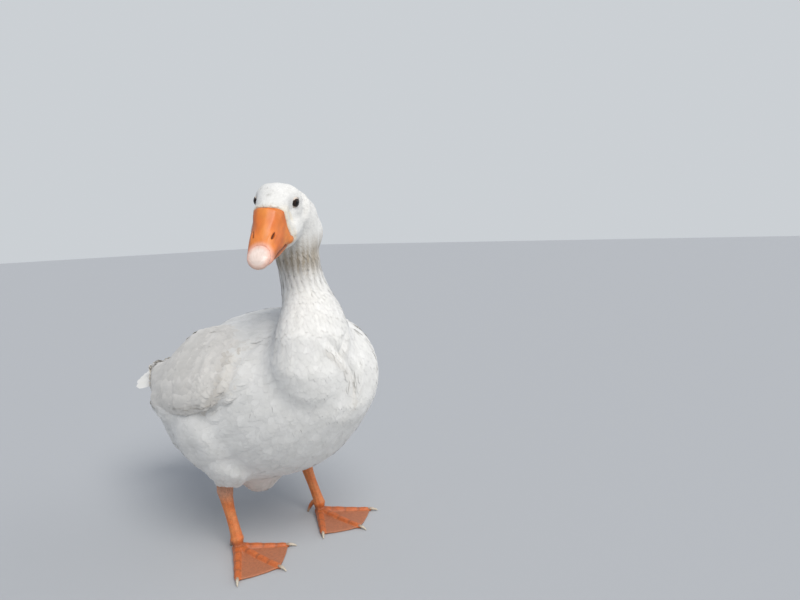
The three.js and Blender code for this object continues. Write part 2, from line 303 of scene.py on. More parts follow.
# The head's own frame: its origin is the middle of the gape, x is left, y is back, z is up,
# for a bill 70 mm long. The eyes' boxes give its place.
HEAD_TURN = (21, 4.3, -56)  # degrees about X, Y and Z
HEAD_SIZE = 1.045
EYE_CENTRE = np.array([18.8, 27, 34]) * MM
EYE_RADIUS = 6.6 * MM
MIDDLE_X = 6.8 * MM  # the trunk's middle plane
SIDES = {"left": 1, "right": -1}  # and the sign of x there


def turn(axis, degrees):
    return np.array(Matrix.Rotation(math.radians(degrees), 3, axis))


head_axes = turn("Z", HEAD_TURN[2]) @ turn("X", HEAD_TURN[0]) @ turn("Y", HEAD_TURN[1])
eye_centres = [np.array(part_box(f"eye_{side}")).mean(0) for side in SIDES]
gape = np.mean(eye_centres, 0) - head_axes @ (EYE_CENTRE * [0, 1, 1]) * HEAD_SIZE


def to_head(points):
    return (points - gape) @ head_axes / HEAD_SIZE


def from_head(points):
    return points @ head_axes.T * HEAD_SIZE + gape


# The middle line of the neck, from its root to the crown.
NECK_LINE = np.array([
    (-5, -135, 241), (-26, -183, 287), (-34, -201, 323.5), (-25.5, -193, 354), (-21, -179, 387),
    (-28, -177, 421), (-35, -181, 452), (-43, -187, 484), (-60, -195, 500),
]) * MM

# The folded wing's middle line, from the shoulder to the tip, in mm: y, distance from the bird's
# middle plane, z, half thickness, reach up and reach down.
WING_LINE = np.array([
    (-128, 83, 300.5, 19.5, 44, 38), (-84, 92.5, 292, 26, 63, 58), (-21, 91.5, 281.5, 26, 67, 65),
    (56, 79, 265, 22, 58, 59), (116, 61.5, 253.5, 16.5, 40, 44), (166, 44.5, 249.5, 10.5, 23, 27),
    (205, 30, 245.5, 6, 12.5, 12.5), (250, 10, 242, 3, 5, 5),
]) * MM
WING_TILT = math.radians(32)


def along_neck(points, samples=90, batch=20000):
    """For each point, how far up the neck it is, from 0 to 1, the neck's direction there, and the
    point's offset from the neck's middle line."""
    line = NECK_LINE
    t = np.linspace(0, len(line) - 1, samples)
    k = np.clip(t.astype(int), 0, len(line) - 2)
    fine = line[k] + (line[k + 1] - line[k]) * (t - k)[:, None]
    for _ in range(6):
        fine[1:-1] = (fine[:-2] + fine[1:-1] + fine[2:]) / 3
    way = unit(np.gradient(fine, axis=0))
    best = np.empty(len(points), int)
    for start in range(0, len(points), batch):
        part = points[start:start + batch]
        best[start:start + batch] = ((part[:, None] - fine[None]) ** 2).sum(2).argmin(1)
    offset = points - fine[best]
    offset -= way[best] * dot(offset, way[best])[:, None]
    return best / (samples - 1), way[best], offset


def round_neck(way, offset):
    """The angle round the neck's middle line."""
    side = unit(np.cross(way, [0.0, 1.0, 0.0]))
    return np.arctan2(dot(offset, np.cross(way, side)), dot(offset, side))


# The edge of the face's feathers along the bill, in the head's frame, in mm: forward, up.
FEATHER_EDGE = np.array([
    (12, -14), (-2, -3.5), (1, 0), (7, 6), (8, 12), (7.5, 19), (8.5, 27), (8, 34), (12, 38.5),
    (17, 42)])


def feather_edge(up):
    return np.interp(up, FEATHER_EDGE[:, 1], FEATHER_EDGE[:, 0])


def narrowed(h, amount):
    """The bill's places with its base narrower half way up, where the feathers come forward."""
    waist = step01(30, 8, -h[:, 1]) * bell(h[:, 2] - 23, 13)
    h[:, 0] *= 1 - amount * waist
    return h


# ---------------- the outer form

FLESH = {
    "head": ["head"],
    "neck": ["neck_upper", "neck_lower"],
    "trunk": ["trunk"],
    "tail": ["tail"],
    "wing": ["wing_left", "wing_right"],
    "thigh": ["thigh_left", "thigh_right"],
}
VOXEL = 2.6 * MM  # the size of the form's quads
SWELL = 0.5 * MM  # closes the thin gaps between the CAD solids
SOCKET = 1.8 * MM  # how far below the eyeballs' faces the sockets are filled
FACE_SWELL = 0.6 * MM  # how far the face's feathers stand over the bill's base
STUMP_END = 0.165  # the tail's flesh is only a stump: what lies past this is drawn in

parts = []
trees = {}
for region, nodes in FLESH.items():
    pieces = [swollen(name, SWELL) for name in nodes]
    if region == "tail":
        co = pieces[0][0]
        co[:, 1] -= 0.75 * np.maximum(co[:, 1] - STUMP_END, 0)
    parts += pieces
    trees[region] = BVHTree.FromPolygons(*(a.tolist() for a in merged(pieces)))
parts += [swollen(f"eye_{side}", -SOCKET) for side in SIDES]
co, tri = swollen("bill_upper", FACE_SWELL)
h = narrowed(to_head(co) / MM, 0.10)
h[:, 1] = np.maximum(h[:, 1], 0.5 - feather_edge(h[:, 2]))
parts.append((from_head(h * MM), tri))

form = Surface(*remeshed(*merged(parts), VOXEL))
form.smooth(10)
form.settle()

# How much each corner belongs to each region, softly.
near = np.stack([[trees[r].find_nearest(p)[3] for p in form.co.tolist()] for r in FLESH], 1)
softened = form.spread(np.eye(len(FLESH))[near.argmin(1)], 8)
share = {r: softened[:, k] for k, r in enumerate(FLESH)}
left_side = np.sign(form.co[:, 0])


def fair(weight, times):
    """Fills and rounds the form where weight is above nothing."""
    form.relax(0.5 * weight[:, None], times)


wide = {r: form.spread(share[r][:, None], 40)[:, 0] for r in ("neck", "trunk", "wing", "thigh")}
above = step01(0.25, 0.6, form.spread(form.normal, 6)[:, 2])
fair(above * step01(0.01, 0.12, wide["wing"] * wide["trunk"]), 90)
fair(step01(0.02, 0.16, wide["neck"] * wide["trunk"]), 160)
fair(0.8 * step01(0.02, 0.2, wide["thigh"] * wide["trunk"]), 60)
form.settle()

# ---------------- folds and swellings

# Each fold has a half width, a depth and its line's places, in mm.
BREAST_FOLDS = (
    (4.6, 2.8, ((-47, -239, 337), (-32, -243, 319), (-13, -242, 299), (-2, -241, 277),
                (-2, -240, 264))),
    (5.0, 0.8, ((-3, -240, 262), (-8, -237, 248), (-17, -231, 232))),
    (3.8, 2.2, ((-8, -236, 336), (-20, -241, 329), (-29, -243, 316))),
)
# The next two are given from the trunk's middle plane, and the last one in the head's frame.
WING_FOLD = (4.6, 3.2, ((78.8, -134, 328), (101.8, -122, 312), (113.8, -121, 292),
                        (119.8, -118, 272), (122.8, -107, 257), (120.8, -82, 237)))
FLANK_FOLD = (7.5, 1.2, ((120.8, -80, 236), (124.8, -60, 236), (124.8, -38, 231),
                         (123.8, -14, 222), (119.8, 12, 200)))
CHEEK_FOLD = (3.6, 0.9, ((19, 41, 42), (23, 42, 31), (26.5, 40, 17)))

# Each swelling has a height, a middle and its reach each way, in mm. A hollow's height is less
# than nothing. The face is hollow before each eye. The thigh's loose feathers swell over the
# wing's lower edge. The nape is full where the head turns, and the neck draws in below it.
EYE_HOLLOW = (-2.4, (20, 16, 33), (11, 9, 8))  # in the head's frame
THIGH_SWELL = (9.0, (-36, 177), (46, 52))  # back and up
NAPE_SWELLS = ((3.2, (-15, -203, 470), (24, 24, 13)), (-2.6, (-11, -199, 445), (24, 24, 11)))
DOWN = (-23, (2, -30), (27, 32))  # left and back
REAR_HOLLOW = -6.0  # how far the body draws in behind the thighs
CROWN_SWELL = 2.1
BACK_LEVEL = 0.245  # what is over this lies lower toward the rear than in the CAD

shade = np.zeros(len(form.co))  # how deep in a fold each corner lies, which sets the painted shade on its feathers


def swell(amount):
    """Moves the form's corners outward by so many mm."""
    form.co += form.normal * (amount * MM)[:, None]


def fold(points, half_width, deep, line):
    """Presses a fold into the form, with a low lip along each side, and records how much painted
    shade its feathers get there.
    """
    far = near_line(points, line)
    near = bell(far, half_width)
    lips = 0.2 * bell(far - 2.2 * half_width, half_width)
    swell((lips - near) * deep)
    np.maximum(shade, near * min(deep / 3, 1), out=shade)


form.co[:, 2] -= (0.24 * step01(20, 120, form.co[:, 1] / MM)
                  * np.maximum(form.co[:, 2] - BACK_LEVEL, 0))
here = to_head(form.co) / MM
crown = step01(26, 40, here[:, 2]) * step01(-6, 8, here[:, 1]) * step01(68, 46, here[:, 1])
crown = CROWN_SWELL * crown * step01(2, 13, np.abs(here[:, 0])) * np.sign(here[:, 0])
form.co += crown[:, None] * MM * head_axes[:, 0]
place = form.co / MM
for line in BREAST_FOLDS:
    fold(place, *line)
for sign in (-1, 1):
    deep, middle, reach = EYE_HOLLOW
    swell(deep * np.exp(-from_middle(here * [sign, 1, 1], middle, reach) ** 1.5))
    side = step01(10, 60, (place[:, 0] - MIDDLE_X / MM) * sign)
    deep, middle, reach = THIGH_SWELL
    swell(deep * side * np.exp(-from_middle(place[:, 1:], middle, reach) ** 2.2))
    rear = step01(8, 45, place[:, 1]) * step01(212, 185, place[:, 2])
    rear += 0.9 * step01(50, 95, place[:, 1]) * step01(220, 196, place[:, 2])
    swell(REAR_HOLLOW * side * rear)
    for half_width, deep, line in (WING_FOLD, FLANK_FOLD):
        fold(place, half_width, deep, [(MIDDLE_X / MM + sign * a, b, c) for a, b, c in line])
    half_width, deep, line = CHEEK_FOLD
    fold(here, half_width, deep, [(sign * a, b, c) for a, b, c in line])
for deep, middle, reach in NAPE_SWELLS:
    swell(deep * np.exp(-from_middle(place, middle, reach)))
# Loose down hangs between the legs.
deep, middle, reach = DOWN
hang = np.exp(-from_middle(place[:, :2], middle, reach) ** 1.5)
hang = hang * step01(170, 135, place[:, 2]) * step01(0.2, -0.5, form.normal[:, 2])
form.co[:, 2] += deep * MM * hang
fluff = 1.2 * share["thigh"] + 3.0 * hang  # how loosely the feathers stand, in mm
form.settle()

# ---------------- the lie of the coat

neck_t, neck_way, _ = along_neck(form.co)
x, y, z = form.co.T


def field(*xyz):
    return np.stack([np.broadcast_to(v, len(form.co)) for v in xyz], 1).astype(float)


front = step01(-0.10, -0.22, y)  # the breast
middle_z, reach_up = (np.interp(y, WING_LINE[:, 0], WING_LINE[:, k]) for k in (2, 4))
up_wing = ((z - middle_z) / (0.85 * reach_up)).clip(-1, 1)
lie = {
    "trunk": field(0.35 * x / 0.12 * front, 1.25 - 1.1 * front, -0.1 - 1.0 * front),
    "neck": -neck_way,
    "tail": field(0.15 * x / 0.05, 1, -0.12),
    "wing": field(-0.24 * left_side, 1, -0.20 - 0.17 * up_wing),
    "thigh": field(0, 0.45, -1),
}
back_of_head = step01(20 * MM, 60 * MM, to_head(form.co)[:, 1])
lie["head"] = field(0, 1 - 0.6 * back_of_head, -0.12 - 1.2 * back_of_head) @ head_axes.T
flow = level(sum(unit(lie[r]) * share[r][:, None] for r in FLESH), form.normal)
for _ in range(30):
    flow = level(form.spread(flow, 1), form.normal)
for eye in eye_centres:  # the feathers part round each eye
    away = form.co - eye
    far = np.linalg.norm(away, axis=1)
    away = level(away, form.normal)
    inward = np.minimum(dot(flow, away), 0) * step01(15 * MM, 8 * MM, far)
    flow = unit(flow - away * (1.05 * inward)[:, None])


# ---------------- colours

WHITE = (0.80, 0.785, 0.75)
WING_WHITE = (0.77, 0.732, 0.675)
BELLY_WHITE = (0.76, 0.72, 0.65)
CREAM = (0.83, 0.72, 0.53)
SOIL = (0.33, 0.26, 0.17)
GREY = (0.42, 0.40, 0.37)

BILL_ORANGE = (0.755, 0.205, 0.036)
BILL_LIGHT = (0.80, 0.26, 0.045)
BILL_SIDE_SHADE = (0.62, 0.115, 0.018)
BILL_HOLLOW_SHADE = (0.64, 0.125, 0.016)
BILL_PINK = (0.76, 0.235, 0.13)
BILL_EDGE = (0.60, 0.13, 0.03)
BILL_LOWER = (0.60, 0.19, 0.085)
BILL_OPENING_SHADE = (0.075, 0.022, 0.014)
NAIL = (0.80, 0.66, 0.585)
NAIL_RING = (0.79, 0.42, 0.31)
NAIL_TIP = (0.72, 0.55, 0.44)

LEG = (0.68, 0.185, 0.045)
LEG_LIGHT = (0.74, 0.255, 0.080)
LEG_TOP = (0.68, 0.36, 0.23)
TOE = (0.56, 0.135, 0.034)
WEB = (0.43, 0.165, 0.085)
TOE_JOINT = (0.22, 0.085, 0.04)
HIND_TOE = (0.50, 0.40, 0.29)
SOLE = (0.30, 0.17, 0.10)
CLAW = (0.42, 0.27, 0.17)
CLAW_TIP = (0.60, 0.53, 0.42)

IRIS = (0.034, 0.016, 0.008)
IRIS_EDGE = (0.020, 0.010, 0.006)
PUPIL = (0.003, 0.003, 0.003)
EYE_BACK = (0.045, 0.028, 0.022)
LID_SKIN = (0.58, 0.49, 0.42)
LID_EDGE = (0.07, 0.045, 0.035)
LID_OUTER = (0.70, 0.64, 0.57)

# What these are multiplied by: painted shade in folds and between the neck's ridges, the colour of
# bare skin, and the dark joints between scales.
PAINTED_FOLD_SHADE = (0.66, 0.60, 0.52)
PAINTED_FURROW_SHADE = (0.60, 0.55, 0.47)
SKIN_TINT = (0.97, 0.94, 0.91)
SCALE_TINT = (0.62, 0.52, 0.46)
BRIGHTEST = 0.86  # the coat's

# ---------------- the bill's shape

# In the head's frame, in mm.
NOSTRIL = np.array([11.4, -39.5, 19.6])
NOSTRIL_WAY = unit(np.array([-0.27, -0.87, -0.41]))
NOSTRIL_HALF = 5.6  # half its length
FOSSA = np.array([14.5, -31.0, 23.0])
FOSSA_REACH = (7.5, 14, 7.5)
RIDGE_HOLLOW = np.array([8, -29, 29])  # where painted shade darkens it, in the hollow beside its ridge
NAIL_MIDDLE = np.array([0, -62.5, 4])
GAPE_EDGE = np.array([(2, 0), (16, -1), (30, -1.5), (45, -3), (58, -4.5), (70, -5.5)])
TOOTH_GAP = 2.3
# The size of each part's quads in mm, and how many times it is smoothed.
BILL_PARTS = {"bill_upper": (0.7, 26), "bill_lower": (0.8, 18), "bill_nail": (0.6, 14)}


def bill_shape(node):
    """A part of the bill, smoothed, with its base tucked under the feathers. Also returns its
    places in the head's frame, in mm."""
    voxel, smooths = BILL_PARTS[node]
    co, tris = node_mesh(node)
    if node == "bill_nail":  # it grows out of the bill with no gap
        out = unit(np.array([0, -0.85, 0.5])) @ head_axes.T
        n = corner_normals(co, tris)
        co = co + (n - out * (0.95 * dot(n, out))[:, None]) * 1.1 * MM
    bill = Surface(*remeshed(co, tris, voxel * MM))
    bill.relax(0.5, smooths)
    h = narrowed(to_head(bill.co) / MM, 0.14)
    front = -h[:, 1]
    if node == "bill_upper":  # the mouth's corner hangs down over the lower bill
        corner = step01(20, 2, front) * step01(17, 4, h[:, 2]) * step01(8, 17, np.abs(h[:, 0]))
        h += corner[:, None] * (np.sign(h[:, :1]) * [1.3, 0, 0] + [0, -0.8, -5.5])
        front = -h[:, 1]
    tip = step01(30, 40, front) * step01(60, 48, front) * step01(8, 0, h[:, 2])
    h[:, 0] *= 1 - 0.09 * tip
    under = step01(2.0, 0.4, front - feather_edge(h[:, 2]))
    h[:, 1] += 5.0 * under
    h[:, [0, 2]] -= (h[:, [0, 2]] - [0, 14]) * (0.02 * under)[:, None]
    bill.co = from_head(h * MM)
    bill.settle()
    return bill, h


def one_side(h):
    """The head's places with the right side's laid over the left's."""
    return np.abs(h) * [1, 0, 0] + h * [0, 1, 1]


def round_nail(h, long):
    """How far each place lies from the nail's middle, less so along it."""
    return np.linalg.norm((h - NAIL_MIDDLE) / [1, long, 1], axis=1)


def bill_colour(h, opening_shade, low):
    """The bill's colour at places in the head's frame, with the painted shade of its openings
    there.
    """
    wide, front, up = np.abs(h[:, 0]), -h[:, 1], h[:, 2]
    uneven = np.sin(h[:, 0] * 0.31 + 0.8 * np.sin(front * 0.21)) * np.sin(front * 0.17 + 1.3)
    return painted(
        len(h), BILL_ORANGE,
        (BILL_LIGHT, 0.5 + 0.5 * uneven),
        # Painted shade: the bill's sides are darker.
        (BILL_SIDE_SHADE, 0.55 * step01(9, 18, wide) * step01(24, 40, front + up)),
        # Painted shade in the hollow beside the ridge.
        (BILL_HOLLOW_SHADE, 0.6 * np.exp(-from_middle(one_side(h), RIDGE_HOLLOW, (5.5, 13, 9)))),
        (BILL_PINK, 0.85 * step01(46, 60, front - 0.3 * wide)),
        (BILL_EDGE, 0.35 * step01(2.6, 0.8, front - feather_edge(up))),
        (BILL_LOWER, 0.6 * low),
        (NAIL_RING, 0.9 * step01(18.5, 12.0, round_nail(h, 1.2))),
        # Painted shade in the openings: the nostril, the gape and the gaps between the teeth.
        (BILL_OPENING_SHADE, 0.93 * opening_shade))


def nail_colour(h):
    return painted(
        len(h), NAIL,
        (NAIL_RING, 0.7 * step01(7.5, 11.8, round_nail(h, 1.25))),
        (NAIL_TIP, 0.5 * step01(2, -6, h[:, 2])))


def bill_relief(node, h):
    """How deep a bill part is cut at each place, in mm, and how much painted shade its openings get
    there.
    """
    front, own = -h[:, 1], one_side(h)
    amount, opening_shade = np.zeros((2, len(h)))
    lip = h[:, 2] - np.interp(front, GAPE_EDGE[:, 0], GAPE_EDGE[:, 1])
    comb = 0.5 + 0.5 * np.cos(2 * np.pi * front / TOOTH_GAP)
    if node == "bill_upper":
        off = own - NOSTRIL
        along_it = dot(off, NOSTRIL_WAY)
        beside = np.sqrt(np.maximum((off ** 2).sum(1) - along_it ** 2, 0))
        slit = np.maximum(1 - (along_it / NOSTRIL_HALF) ** 2, 0) ** 0.5
        hole = step01(1.9, 0.5, beside / np.maximum(slit, 0.02)) * (slit > 0.02)
        rim = bell(beside - 2.9, 1.2) * bell(along_it, 6.5)
        wrinkles = np.sin(front * 1.7 + 0.6 * np.sin(h[:, 0] * 0.4)) * step01(26, 14, front)
        teeth = bell(lip - 0.6, 1.5) * step01(13, 18, front) * step01(58, 50, front)
        amount = 1.7 * np.exp(-from_middle(own, FOSSA, FOSSA_REACH) ** 1.4) + 2.6 * hole
        amount = amount - 0.45 * rim + 0.10 * wrinkles + 0.55 * comb * teeth
        under_lip = step01(0.6, -1.4, lip) * step01(9, 15, front)
        # Painted shade in the nostril, along the gape under the lip and between the teeth.
        opening_shade = np.maximum(hole, 0.9 * teeth * (0.35 + 0.65 * comb) + 0.75 * under_lip)
    if node == "bill_lower":
        teeth = step01(-4.4, -2.6, lip) * step01(60, 50, front)
        amount = 0.4 * comb * teeth
        # Painted shade between the lower bill's teeth.
        opening_shade = 0.75 * teeth * (0.4 + 0.6 * comb)
    return amount, opening_shade


bills = {}
for node in BILL_PARTS:
    bill, h = bill_shape(node)
    amount, opening_shade = bill_relief(node, h)
    bill.co -= bill.normal * (amount * MM)[:, None]
    bill.settle()
    h = to_head(bill.co) / MM
    rgb = nail_colour(h) if node == "bill_nail" else bill_colour(h, opening_shade, node == "bill_lower")
    bills[node] = (bill, h, rgb)

# ---------------- markings, on skin and coat

# The forehead's smudges: left, back and radius, in mm, in the head's frame.
SPOTS = ((-1, -2.8, 2.3), (-6.5, 12.6, 1.5), (-15, 18.6, 1.7), (1, 5, 1.2), (-19, 30, 1.3))
SOIL_RING = 0.735  # how far up the neck it lies

bill_trees = [bills[node][0].tree for node in ("bill_upper", "bill_lower")]


def bill_gap(points):
    """How far each point lies outside the bill, less than nothing if it is inside."""
    out = np.empty(len(points))
    for i, p in enumerate(points.tolist()):
        best = np.inf
        for tree in bill_trees:
            place, normal, _, far = tree.find_nearest(p)
            if far < abs(best):
                away = Vector(p) - place
                best = far if away.dot(normal) > 0 else -far
        out[i] = best
    return out


def marking(points, shares):
    """The plumage's colour at each point, for skin and feathers alike."""
    here = to_head(points) / MM
    low = step01(0.15, 0.10, points[:, 2]) * (shares["trunk"] + shares["thigh"])
    # Soiled feathers under the jaw, in streaks that fade down the throat.
    t = along_neck(points)[0]
    below = step01(-5, -14, here[:, 2])
    patchy = 0.5 + 0.5 * np.sin(here[:, 0] * 0.9 + 2 * np.sin(here[:, 1] * 0.35))
    ring = below * bell(t - SOIL_RING, 0.065)
    fade = below * step01(0.58, 0.72, t)
    fore = step01(85, 30, here[:, 1])
    soil = (0.70 * ring * (0.7 + 0.3 * patchy) + 0.20 * fade * (0.2 + 0.8 * patchy)).clip(0, 0.85)
    top = step01(40, 44, here[:, 2])
    rim = bell(bill_gap(points) / MM, 2.0) * shares["head"]  # where the feathers meet the bill
    return painted(
        len(points), WHITE,
        (WING_WHITE, 0.8 * shares["wing"]),
        (BELLY_WHITE, 0.6 * low),
        (SOIL, soil * (0.45 + 0.55 * fore)),
        *((GREY, 0.75 * top * bell(np.hypot(here[:, 0] - left, here[:, 1] - back), radius))
          for left, back, radius in SPOTS),
        (CREAM, 0.7 * rim))


# ---------------- the bake map

TRUNK_LEVEL = 0.24  # the height of its middle line
TRUNK_HALF = 0.26  # half its length, with the tail


def chart(points, shares):
    """An unwrap of the bird: the neck and head round their middle line, and the trunk with its
    wings, thighs and tail round its own, each in its own part of the square."""
    t, way, offset = along_neck(points)
    turns = round_neck(way, offset) / (2 * np.pi)
    past = np.clip(to_head(points)[:, 1] / MM, -30, 70)
    neck = np.stack([0.02 + 0.4 * (turns + 0.5), 0.55 + 0.30 * t + 0.0014 * (30 - past)], 1)
    turns = np.arctan2(points[:, 0], points[:, 2] - TRUNK_LEVEL) / (2 * np.pi)
    back = (points[:, 1] + TRUNK_HALF) / (2 * TRUNK_HALF)
    body = np.stack([0.02 + 0.96 * (turns + 0.5), 0.02 + 0.5 * back], 1)
    return mix(body, neck, ((shares["neck"] + shares["head"]) > 0.5).astype(float))


# ---------------- skin

# How deep the skin lies under the form, in mm.
DEPTH = {"head": 1.1, "neck": 2.1, "trunk": 3.4, "tail": 3.0, "wing": 3.2, "thigh": 3.2}
DEEPEST = 0.36  # of the form's thickness
WING_SKIN_END = 0.175  # what lies past this is drawn in
WING_COAT_END = 0.195

depth = sum(DEPTH[r] * MM * share[r] for r in FLESH)
thick = np.array([
    form.tree.ray_cast(p, d)[3] or 0.2
    for p, d in zip((form.co - form.normal * MM).tolist(), (-form.normal).tolist())
])
depth = np.minimum(depth, DEEPEST * form.spread(thick[:, None], 4)[:, 0])
depth = form.spread(depth[:, None], 6)[:, 0]
gap_to_bill = bill_gap(form.co)
depth *= 0.1 + 0.9 * step01(0, 3 * MM, gap_to_bill)
skin_co = form.co - form.normal * depth[:, None]
on_wings = share["wing"] > 0.4
skin_co[:, 1] -= 0.35 * np.maximum(skin_co[:, 1] - WING_SKIN_END, 0) * on_wings

# ---------------- feathers

CM = 10 * MM  # the vane map's unit
PATCH_SIZE = 0.003  # each feather's part of the bake map


class Vane:
    """The plan of one kind of feather: places across and along it, from root to tip."""

    def __init__(self, across, along, outline, tip=0.12, ragged=0.05, thick=0.35, camber=0.05):
        self.u, self.v = np.array(across, float), np.array(along, float)
        self.outline = np.interp(self.v, [p[0] for p in outline], [p[1] for p in outline])
        self.tip, self.ragged, self.thick, self.camber = tip, ragged, thick, camber
        cols, rows = len(self.u), len(self.v)
        top = np.arange(rows * cols).reshape(rows, cols)
        under = rows * cols + np.arange(rows)
        tris = []
        for k in range(rows - 1):
            quads = [(top[k, j], top[k, j + 1], top[k + 1, j + 1], top[k + 1, j])
                     for j in range(cols - 1)]
            for j, way in ((0, 1), (-1, -1)):
                quads.append((top[k, j], top[k + 1, j], under[k + 1], under[k])[::way])
            tris += [t for a, b, c, d in quads for t in ((a, b, c), (a, c, d))]
        for k, way in ((0, 1), (-1, -1)):
            tris += [(under[k], top[k, j + 1], top[k, j])[::way] for j in range(cols - 1)]
        self.tris = np.array(tris)[:, ::-1]
        self.size = rows * cols + rows
        no_place = np.full(rows, -1)  # the underside's middle line is on no rim
        self.row = np.concatenate([np.repeat(np.arange(rows), cols), no_place])
        self.col = np.concatenate([np.tile(np.arange(cols), rows), no_place])

    def rim(self, a, b):
        """Whether the edge between corners a and b runs along the vane's rim."""
        a, b = a % self.size, b % self.size
        rows, cols = len(self.v), len(self.u)
        out = np.zeros(len(a), bool)
        for place, last in ((self.row, rows - 1), (self.col, cols - 1)):
            out |= (place[a] == place[b]) & ((place[a] == 0) | (place[a] == last))
        return out


def march(place, face, length, vane, yaw, stiff=0.5, free=False):
    """Middle lines that run over the form from each root along the lie of the coat, turned by
    yaw. Free ones run straight on past the form's end."""
    n, lie_here = form.read(place, face, form.normal, flow)
    n = unit(n)
    d = level(lie_here, n)
    d = unit(d + np.cross(n, d) * np.tan(yaw)[:, None])
    P, N, D = [place], [n], [d]
    for k in range(1, len(vane.v)):
        ahead = P[-1] + D[-1] * (length * (vane.v[k] - vane.v[k - 1]))[:, None]
        place, face, far = form.nearest(ahead)
        n, lie_here = form.read(place, face, form.normal, flow)
        n = unit(n)
        d = level(stiff * D[-1] + (1 - stiff) * lie_here, n)
        if free:
            past = (step01(1.5 * MM, 4 * MM, far) + step01(0.5, 0.0, dot(n, N[-1]))).clip(0, 1)
            place = mix(place, ahead, past)
            n = unit(mix(n, N[-1], past))
            d = unit(mix(d, D[-1], past))
        P.append(place)
        N.append(n)
        D.append(d)
    return np.stack(P, 1), np.stack(N, 1), np.stack(D, 1)


def on_lines(lines, v, at):
    """Values between the rows of each line, which are known at v, at each of its places."""
    k = np.clip(np.searchsorted(v, at) - 1, 0, len(v) - 2)
    part = ((at - v[k]) / (v[k + 1] - v[k]))[..., None]
    each = np.arange(len(lines))[:, None]
    return lines[each, k] * (1 - part) + lines[each, k + 1] * part


def build(vane, P, N, D, length, width, rise, tone, shares, lean=0.0, drape=False):
    """Feathers as one mesh's arrays, from their middle lines. rise is each row's height over the
    middle line; lean tips the feathers sideways; drape bends them over the form."""
    count, rows, cols = len(P), len(vane.v), len(vane.u)
    S = np.cross(N, D)
    if lean:
        S, N = unit(S + N * lean), unit(N - S * lean)
    half = width[:, None] * vane.outline[None]
    notch = rng.uniform(-1, 1, (count, 1, cols)) * vane.ragged * (vane.v ** 6)[None, :, None]
    shift = notch - vane.tip * (vane.u ** 2)[None, None] * (vane.v ** 4)[None, :, None]
    lines = np.concatenate([P, N, S, rise[..., None]], 2)
    top = on_lines(lines, vane.v, (vane.v[None, :, None] + shift).reshape(count, -1))
    # The underside stays behind the tip's notches.
    back = shift.min(2) - 0.02 * (vane.v ** 6)[None]
    under = on_lines(lines, vane.v, vane.v[None] + back)
    thin = vane.thick * MM * (1 - 0.75 * vane.v)
    u = np.tile(vane.u, rows)[None]
    half_at = np.repeat(half, cols, 1)
    high = top[..., 9] - vane.camber * half_at * u ** 2
    high += 0.5 * np.repeat(thin, cols)[None] * (1 - np.abs(u)) ** 0.7
    over, out = top[..., :3] + top[..., 6:9] * (half_at * u)[..., None], top[..., 3:6]
    if drape:
        flat_over, flat_out = over.reshape(-1, 3), out.reshape(-1, 3)
        place, face, far = form.nearest(flat_over)
        n = unit(form.read(place, face, form.normal)[0])
        low = np.clip(-dot(place - flat_over, flat_out), 0, 9 * MM)
        near = step01(12 * MM, 7 * MM, far) * (dot(n, flat_out) > -0.2)
        over = over - out * (low * near).reshape(over.shape[:2])[..., None]
    co = np.concatenate([
        over + out * high[..., None],
        under[..., :3] + under[..., 3:6] * (under[..., 9] - 0.5 * thin[None])[..., None]], 1)
    across = np.concatenate([np.tile(vane.u, rows), np.zeros(rows)])
    along_v = np.concatenate([np.repeat(vane.v, cols), vane.v])
    rows_of = np.concatenate([np.repeat(np.arange(rows), cols), np.arange(rows)])
    uv_vane = np.stack([across[None] * half[:, rows_of], along_v[None] * length[:, None]], 2) / CM
    patch = PATCH_SIZE * np.stack([0.5 * across, along_v - 0.5], 1)
    uv_bake = chart(P[:, 0], shares)[:, None] + patch[None]
    # Each feather is darker toward its root: partly its greyer down, partly painted shade under the
    # feathers that overlap it.
    down_and_shade = 0.90 + 0.10 * step01(0.0, 0.75, along_v)
    rgb = tone.clip(0, BRIGHTEST)[:, None] * down_and_shade[None, :, None]
    tris = vane.tris[None] + (np.arange(count) * vane.size)[:, None, None]
    return [a.reshape(-1, a.shape[-1]) for a in (co, tris, rgb, uv_vane, uv_bake)]


def coat_piece(name, vane, arrays, look, slot):
    co, tris, rgb, uv_vane, uv_bake = arrays
    me = new_mesh(name, co, tris, rgb)
    edges = np.empty(2 * len(me.edges), np.int32)
    me.edges.foreach_get("vertices", edges)
    sharp = me.attributes.new("sharp_edge", "BOOLEAN", "EDGE")
    sharp.data.foreach_set("value", vane.rim(edges[::2], edges[1::2]))
    set_uv(me, "vane", uv_vane)
    set_uv(me, "OFBake", uv_bake)
    add_piece(name, me, [look], slot)


BODY_VANE = Vane((-1, -0.6, 0, 0.6, 1), (0, 0.3, 0.6, 0.85, 1),
                 [(0, 0.25), (0.3, 0.8), (0.6, 1), (0.85, 0.93), (1, 0.62)],
                 ragged=0.05, thick=0.20, camber=0.06)
NECK_VANE = Vane((-1, 0, 1), (0, 0.35, 0.75, 1),
                 [(0, 0.3), (0.35, 0.9), (0.75, 1), (1, 0.35)], tip=0.05, thick=0.3, camber=0.085)
LONG_VANE = Vane((-1, -0.65, -0.3, 0, 0.3, 0.65, 1), (0, 0.12, 0.3, 0.5, 0.7, 0.85, 0.94, 1),
                 [(0, 0.35), (0.12, 0.6), (0.3, 0.85), (0.5, 0.97), (0.7, 1), (0.85, 0.96),
                  (0.94, 0.82), (1, 0.5)], tip=0.035, ragged=0.008, thick=0.5, camber=0.05)
FACE_VANE = Vane((-1, 0, 1), (0, 0.5, 1), [(0, 0.4), (0.5, 1), (1, 0.3)], tip=0.04, thick=0.3)

